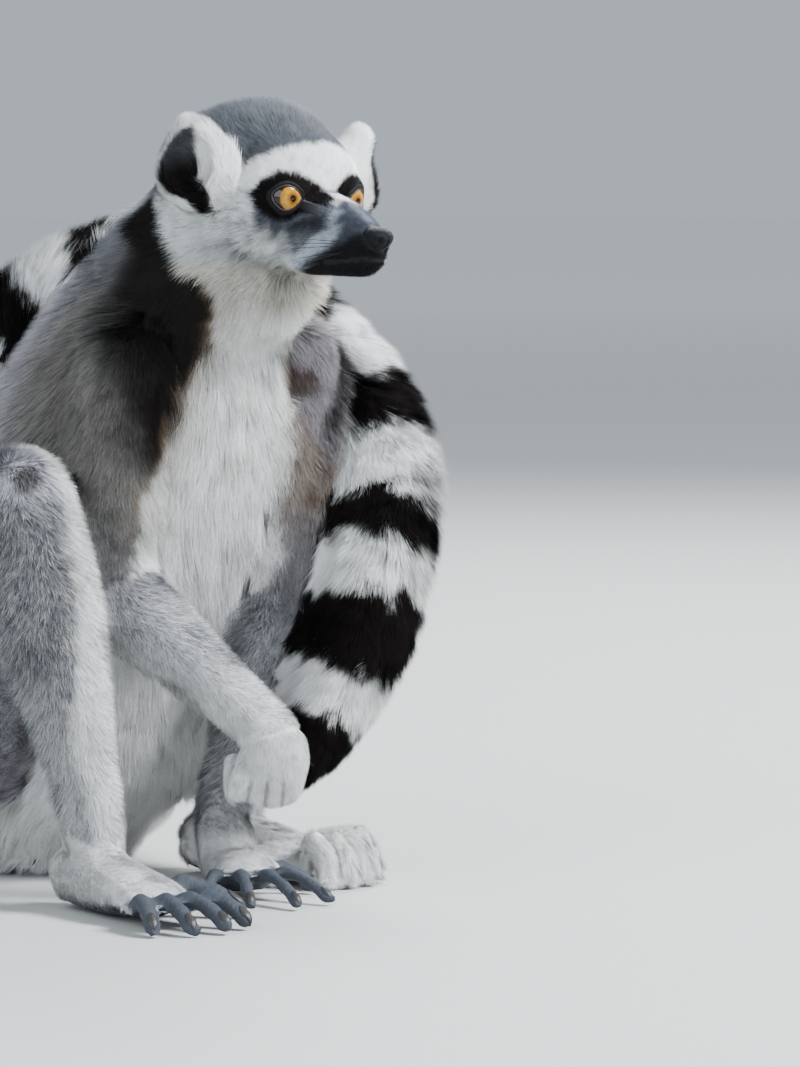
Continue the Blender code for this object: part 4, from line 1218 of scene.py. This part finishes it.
def unwrapped(points, numbers, nodes):
    """Where points fall when the skin of each node is cut along its back and laid out flat."""
    grid = math.ceil(math.sqrt(len(nodes)))
    out = np.zeros((len(points), 2))
    for cell, name in enumerate(nodes):
        cloud = skin[is_of(owner, name)]
        if not len(cloud):
            continue
        middle = cloud.mean(0)
        _, _, axes = np.linalg.svd(cloud - middle, full_matrices=False)
        spread_along = (cloud - middle) @ axes[0]
        on = is_of(numbers, name)
        local = (points[on] - middle) @ axes.T
        turn = np.arctan2(local[:, 2], local[:, 1]) / (2 * np.pi) + 0.5
        along = (local[:, 0] - spread_along.min()) / max(np.ptp(spread_along), 1e-3)
        flat = np.stack((turn, along), 1) * 0.94 + 0.03
        out[on] = (np.clip(flat, 0.01, 0.99) + (cell % grid, cell // grid)) / grid
    return out


HAIR_PATCH = 0.003 * (np.array(((0, 0), (1, 0), (0.5, 1))) - 0.5)


def coat_mesh(name, root, tip, half, lit, root_colour, tip_colour, patch_at):
    """Hairs as one mesh, each a single strand that tapers to a point, shaded as one soft coat."""
    faces = np.arange(3 * len(root)).reshape(-1, 3)
    made = mesh_of(name, np.stack((root - half, root + half, tip), 1).reshape(-1, 3), faces)
    made.normals_split_custom_set_from_vertices(np.repeat(lit, 3, axis=0).tolist())
    colour_points(made, np.stack((root_colour, root_colour, tip_colour), 1).reshape(-1, 3))
    flat = patch_at[:, None] + HAIR_PATCH
    made.uv_layers.new(name="OFBake").data.foreach_set("uv", flat.astype(np.float32).ravel())
    return made


ROOT_SINK, ROOT_WIDTH, FLOOR_GAP, ROOT_FLOOR_GAP = 0.25, 0.8, 0.3, 0.1
LENGTH_SPREAD, WIDTH_SPREAD, CURL, CURL_SIZE = (0.75, 1.2), (0.7, 1.3), 0.28, 22.0
WARMTH, BLACK_TIPS, TIP_BROWN = np.array((1.0, 0.1, -1.0)), 0.5, np.array((0.016, 0.008, 0.005))
# How much the tone varies, and the painted shade at the root, each by the brightness of the hair.
PEPPER = (0.02, 0.1, 0.3, 0.6, 0.8), (0.16, 0.34, 0.30, 0.15, 0.09)
ROOT_PAINTED_SHADE = (0.1, 0.4, 0.8), (0.6, 0.7, 0.88)


def grow(
    name, nodes, count, slot, dye, *, part=1, longer=1.0, together=0.45, lock=40, rough=0.2,
    lift=(0.72, 1.06), grizzle=0.25,
):
    """One piece of coat, rooted over the given nodes. part narrows it to some of their skin."""
    on = is_of(owner, nodes) * furred * part
    spacing = np.cumsum(triangle_size * on[skin_faces].min(1))
    pick = np.searchsorted(spacing, (np.arange(count) + chance.random(count)) / count * spacing[-1])
    corners = skin_faces[np.minimum(pick, len(skin_faces) - 1)]
    a, b = np.sqrt(chance.random(count)), chance.random(count)
    shares = np.stack((1 - a, a * (1 - b), a * b), 1)[:, :, None]
    root, facing, way, tall = (
        (values[corners] * shares).sum(1) for values in (skin, skin_facing, hair_way, depth[:, None])
    )
    facing, way, tall, root_owner = unit(facing), unit(way), tall[:, 0], owner[corners[:, 0]]
    length = hair_length[corners].mean(1) * longer * chance.uniform(*LENGTH_SPREAD, count)
    width = hair_width[corners].mean(1) * chance.uniform(*WIDTH_SPREAD, count)
    sway = np.stack([wandering(root, CURL_SIZE, seed) for seed in (31, 32, 33)], 1)
    way = unit(way + rough * chance.normal(size=(count, 3)) + CURL * sway)
    way = along_hide(way, facing)

    # The tip lies over the hide where it reaches some that faces alike, and stands free elsewhere.
    goal = root + way * length[:, None] + facing * tall[:, None] * 0.6
    under, under_facing, under_triangle = of_skin(goal)
    same = ((under_facing * facing).sum(1) > 0.1) & (np.linalg.norm(under - goal, axis=1) < 1.6 * tall + 4)
    tall_there = depth[skin_faces[under_triangle]].mean(1)
    height = np.where(same, tall_there, tall) * chance.uniform(*lift, count)
    free = root + 0.8 * way * length[:, None] + facing * height[:, None]
    tip = np.where(same[:, None], under + under_facing * height[:, None], free)

    # Each hair leans towards the chief of its lock.
    guides = chance.permutation(count)[: count // lock]
    tree = KDTree(len(guides))
    for k, number in enumerate(guides):
        tree.insert(root[number] + 0.5 * facing[number], k)
    tree.balance()
    chief = guides[[tree.find(p)[1] for p in (root + 0.5 * facing).tolist()]]
    agree = (facing[chief] * facing).sum(1) > 0.6
    pull = np.where(agree, together * chance.uniform(0.5, 1.25, count), 0)[:, None]
    tip = tip + pull * (tip[chief] - tip)
    tone = 1 + 0.10 * chance.normal(size=count)[chief]
    # No hair goes through the floor.
    tip[:, 2] = np.maximum(tip[:, 2], FLOOR_GAP)

    tip_owner = np.where(same, owner[skin_faces[under_triangle, 0]], root_owner)
    tip_owner = np.where(is_of(tip_owner, nodes), tip_owner, root_owner)
    along = along_tail[corners].mean(1) + 0.65 * np.where(is_of(root_owner, "tail"), length, 0)
    shade_at = 0.35 * root + 0.65 * tip + chance.normal(scale=0.35, size=(count, 3))
    colour = markings(shade_at, facing, tip_owner, along)
    # White hair varies little, grey hair is peppered, and black hair fades to brown at its tip.
    bright = colour.max(1)
    pepper = np.interp(bright, *PEPPER)
    tone = np.clip(tone * (1 + pepper * chance.normal(size=count)), 0.45, 1.75)[:, None]
    warm = 1 + chance.normal(scale=0.03, size=(count, 1)) * WARMTH
    colour = np.clip(colour * tone * warm, 0.002, 0.92)
    brown = (BLACK_TIPS * step(0.03 - bright, 0, 0.015) * chance.random(count))[:, None]
    tip_colour = colour + brown * TIP_BROWN
    # Grey hair is dark below and pale at its tip.
    grizzled = (grizzle * step(bright, 0.03, 0.09) * (1 - step(bright, 0.5, 0.75)))[:, None]
    tip_colour = np.clip(tip_colour * (1 + 1.4 * grizzled), 0, 0.9)
    # Every root is also painted darker, as shade deep in the coat.
    root_colour = colour * np.interp(bright, *ROOT_PAINTED_SHADE)[:, None] * (1 - 0.9 * grizzled)

    run = unit(tip - root)
    roll = chance.normal(scale=0.22, size=count)[:, None]
    side = unit(unit(np.cross(run, facing)) * np.cos(roll) + facing * np.sin(roll))
    flat = unit(np.cross(run, side))
    flat = flat * np.where((flat * facing).sum(1) < 0, -1.0, 1.0)[:, None]
    lit = unit(facing + 0.35 * flat + 0.25 * way + 0.12 * chance.normal(size=(count, 3)))
    patch_at = unwrapped(root, root_owner, named(nodes))
    root = np.maximum(root - facing * ROOT_SINK, (-1e3, -1e3, ROOT_FLOOR_GAP))
    half = side * (0.5 * width * ROOT_WIDTH)[:, None]
    shown(name, coat_mesh(name, root, tip, half, lit, root_colour, tip_colour, patch_at), dye)


grey, pale = ("grey_coat", coat_dye("grey coat", 0.86)), ("pale_coat", coat_dye("pale coat", 0.9))
ringed, face_dye = ("ringed_coat", coat_dye("ringed coat", 0.88)), coat_dye("face coat", 0.92)
grow("trunk_coat", "trunk", 190000, *grey, lock=130, together=0.35)
grow("neck_coat", "neck upper", 160000, *grey, lock=120, together=0.15)
grow("tail_root_coat", "tail_1 tail_2", 140000, *ringed, lock=160)
grow("tail_middle_coat", "tail_3 tail_4", 180000, *ringed, lock=160)
grow("tail_tip_coat", "tail_5", 90000, *ringed, lock=160)
grow("thigh_coat", "thigh", 105000, *grey, lock=120, together=0.3)
grow("forearm_coat", "forearm", 90000, *pale, together=0.12, rough=0.28, lift=(0.75, 1.35), grizzle=0.4)
grow("shin_coat", "shin", 130000, *pale, together=0.15, rough=0.28, lift=(0.75, 1.4), grizzle=0.3)
grow("hand_coat", "hand_left foot_right", 55000, *pale, together=0.1, longer=1.3, rough=0.28, lift=(0.8, 1.7))
grow("fist_coat", "hand_right", 36000, *pale, together=0.2, lock=50, longer=1.5, rough=0.3, lift=(0.8, 2.2))
grow(
    "curled_foot_coat", "foot_left", 38000, *pale, together=0.4, lock=60, longer=2.6, rough=0.35,
    lift=(0.9, 3.2),
)
grow("ear_coat", "ear", 45000, *pale, together=0.15, longer=1.5, rough=0.32, lift=(0.7, 2.1))
behind = step(18 - forward, -0.01, 0.01)
grow(
    "crown_coat", "head", 95000, "grey_coat", face_dye, part=behind, together=0.08, rough=0.3,
    lift=(0.85, 1.5), grizzle=0.45,
)
grow(
    "face_coat", "head eye nose", 85000, "pale_coat", face_dye, part=1 - behind, together=0.05,
    lift=(0.8, 1.2),
)
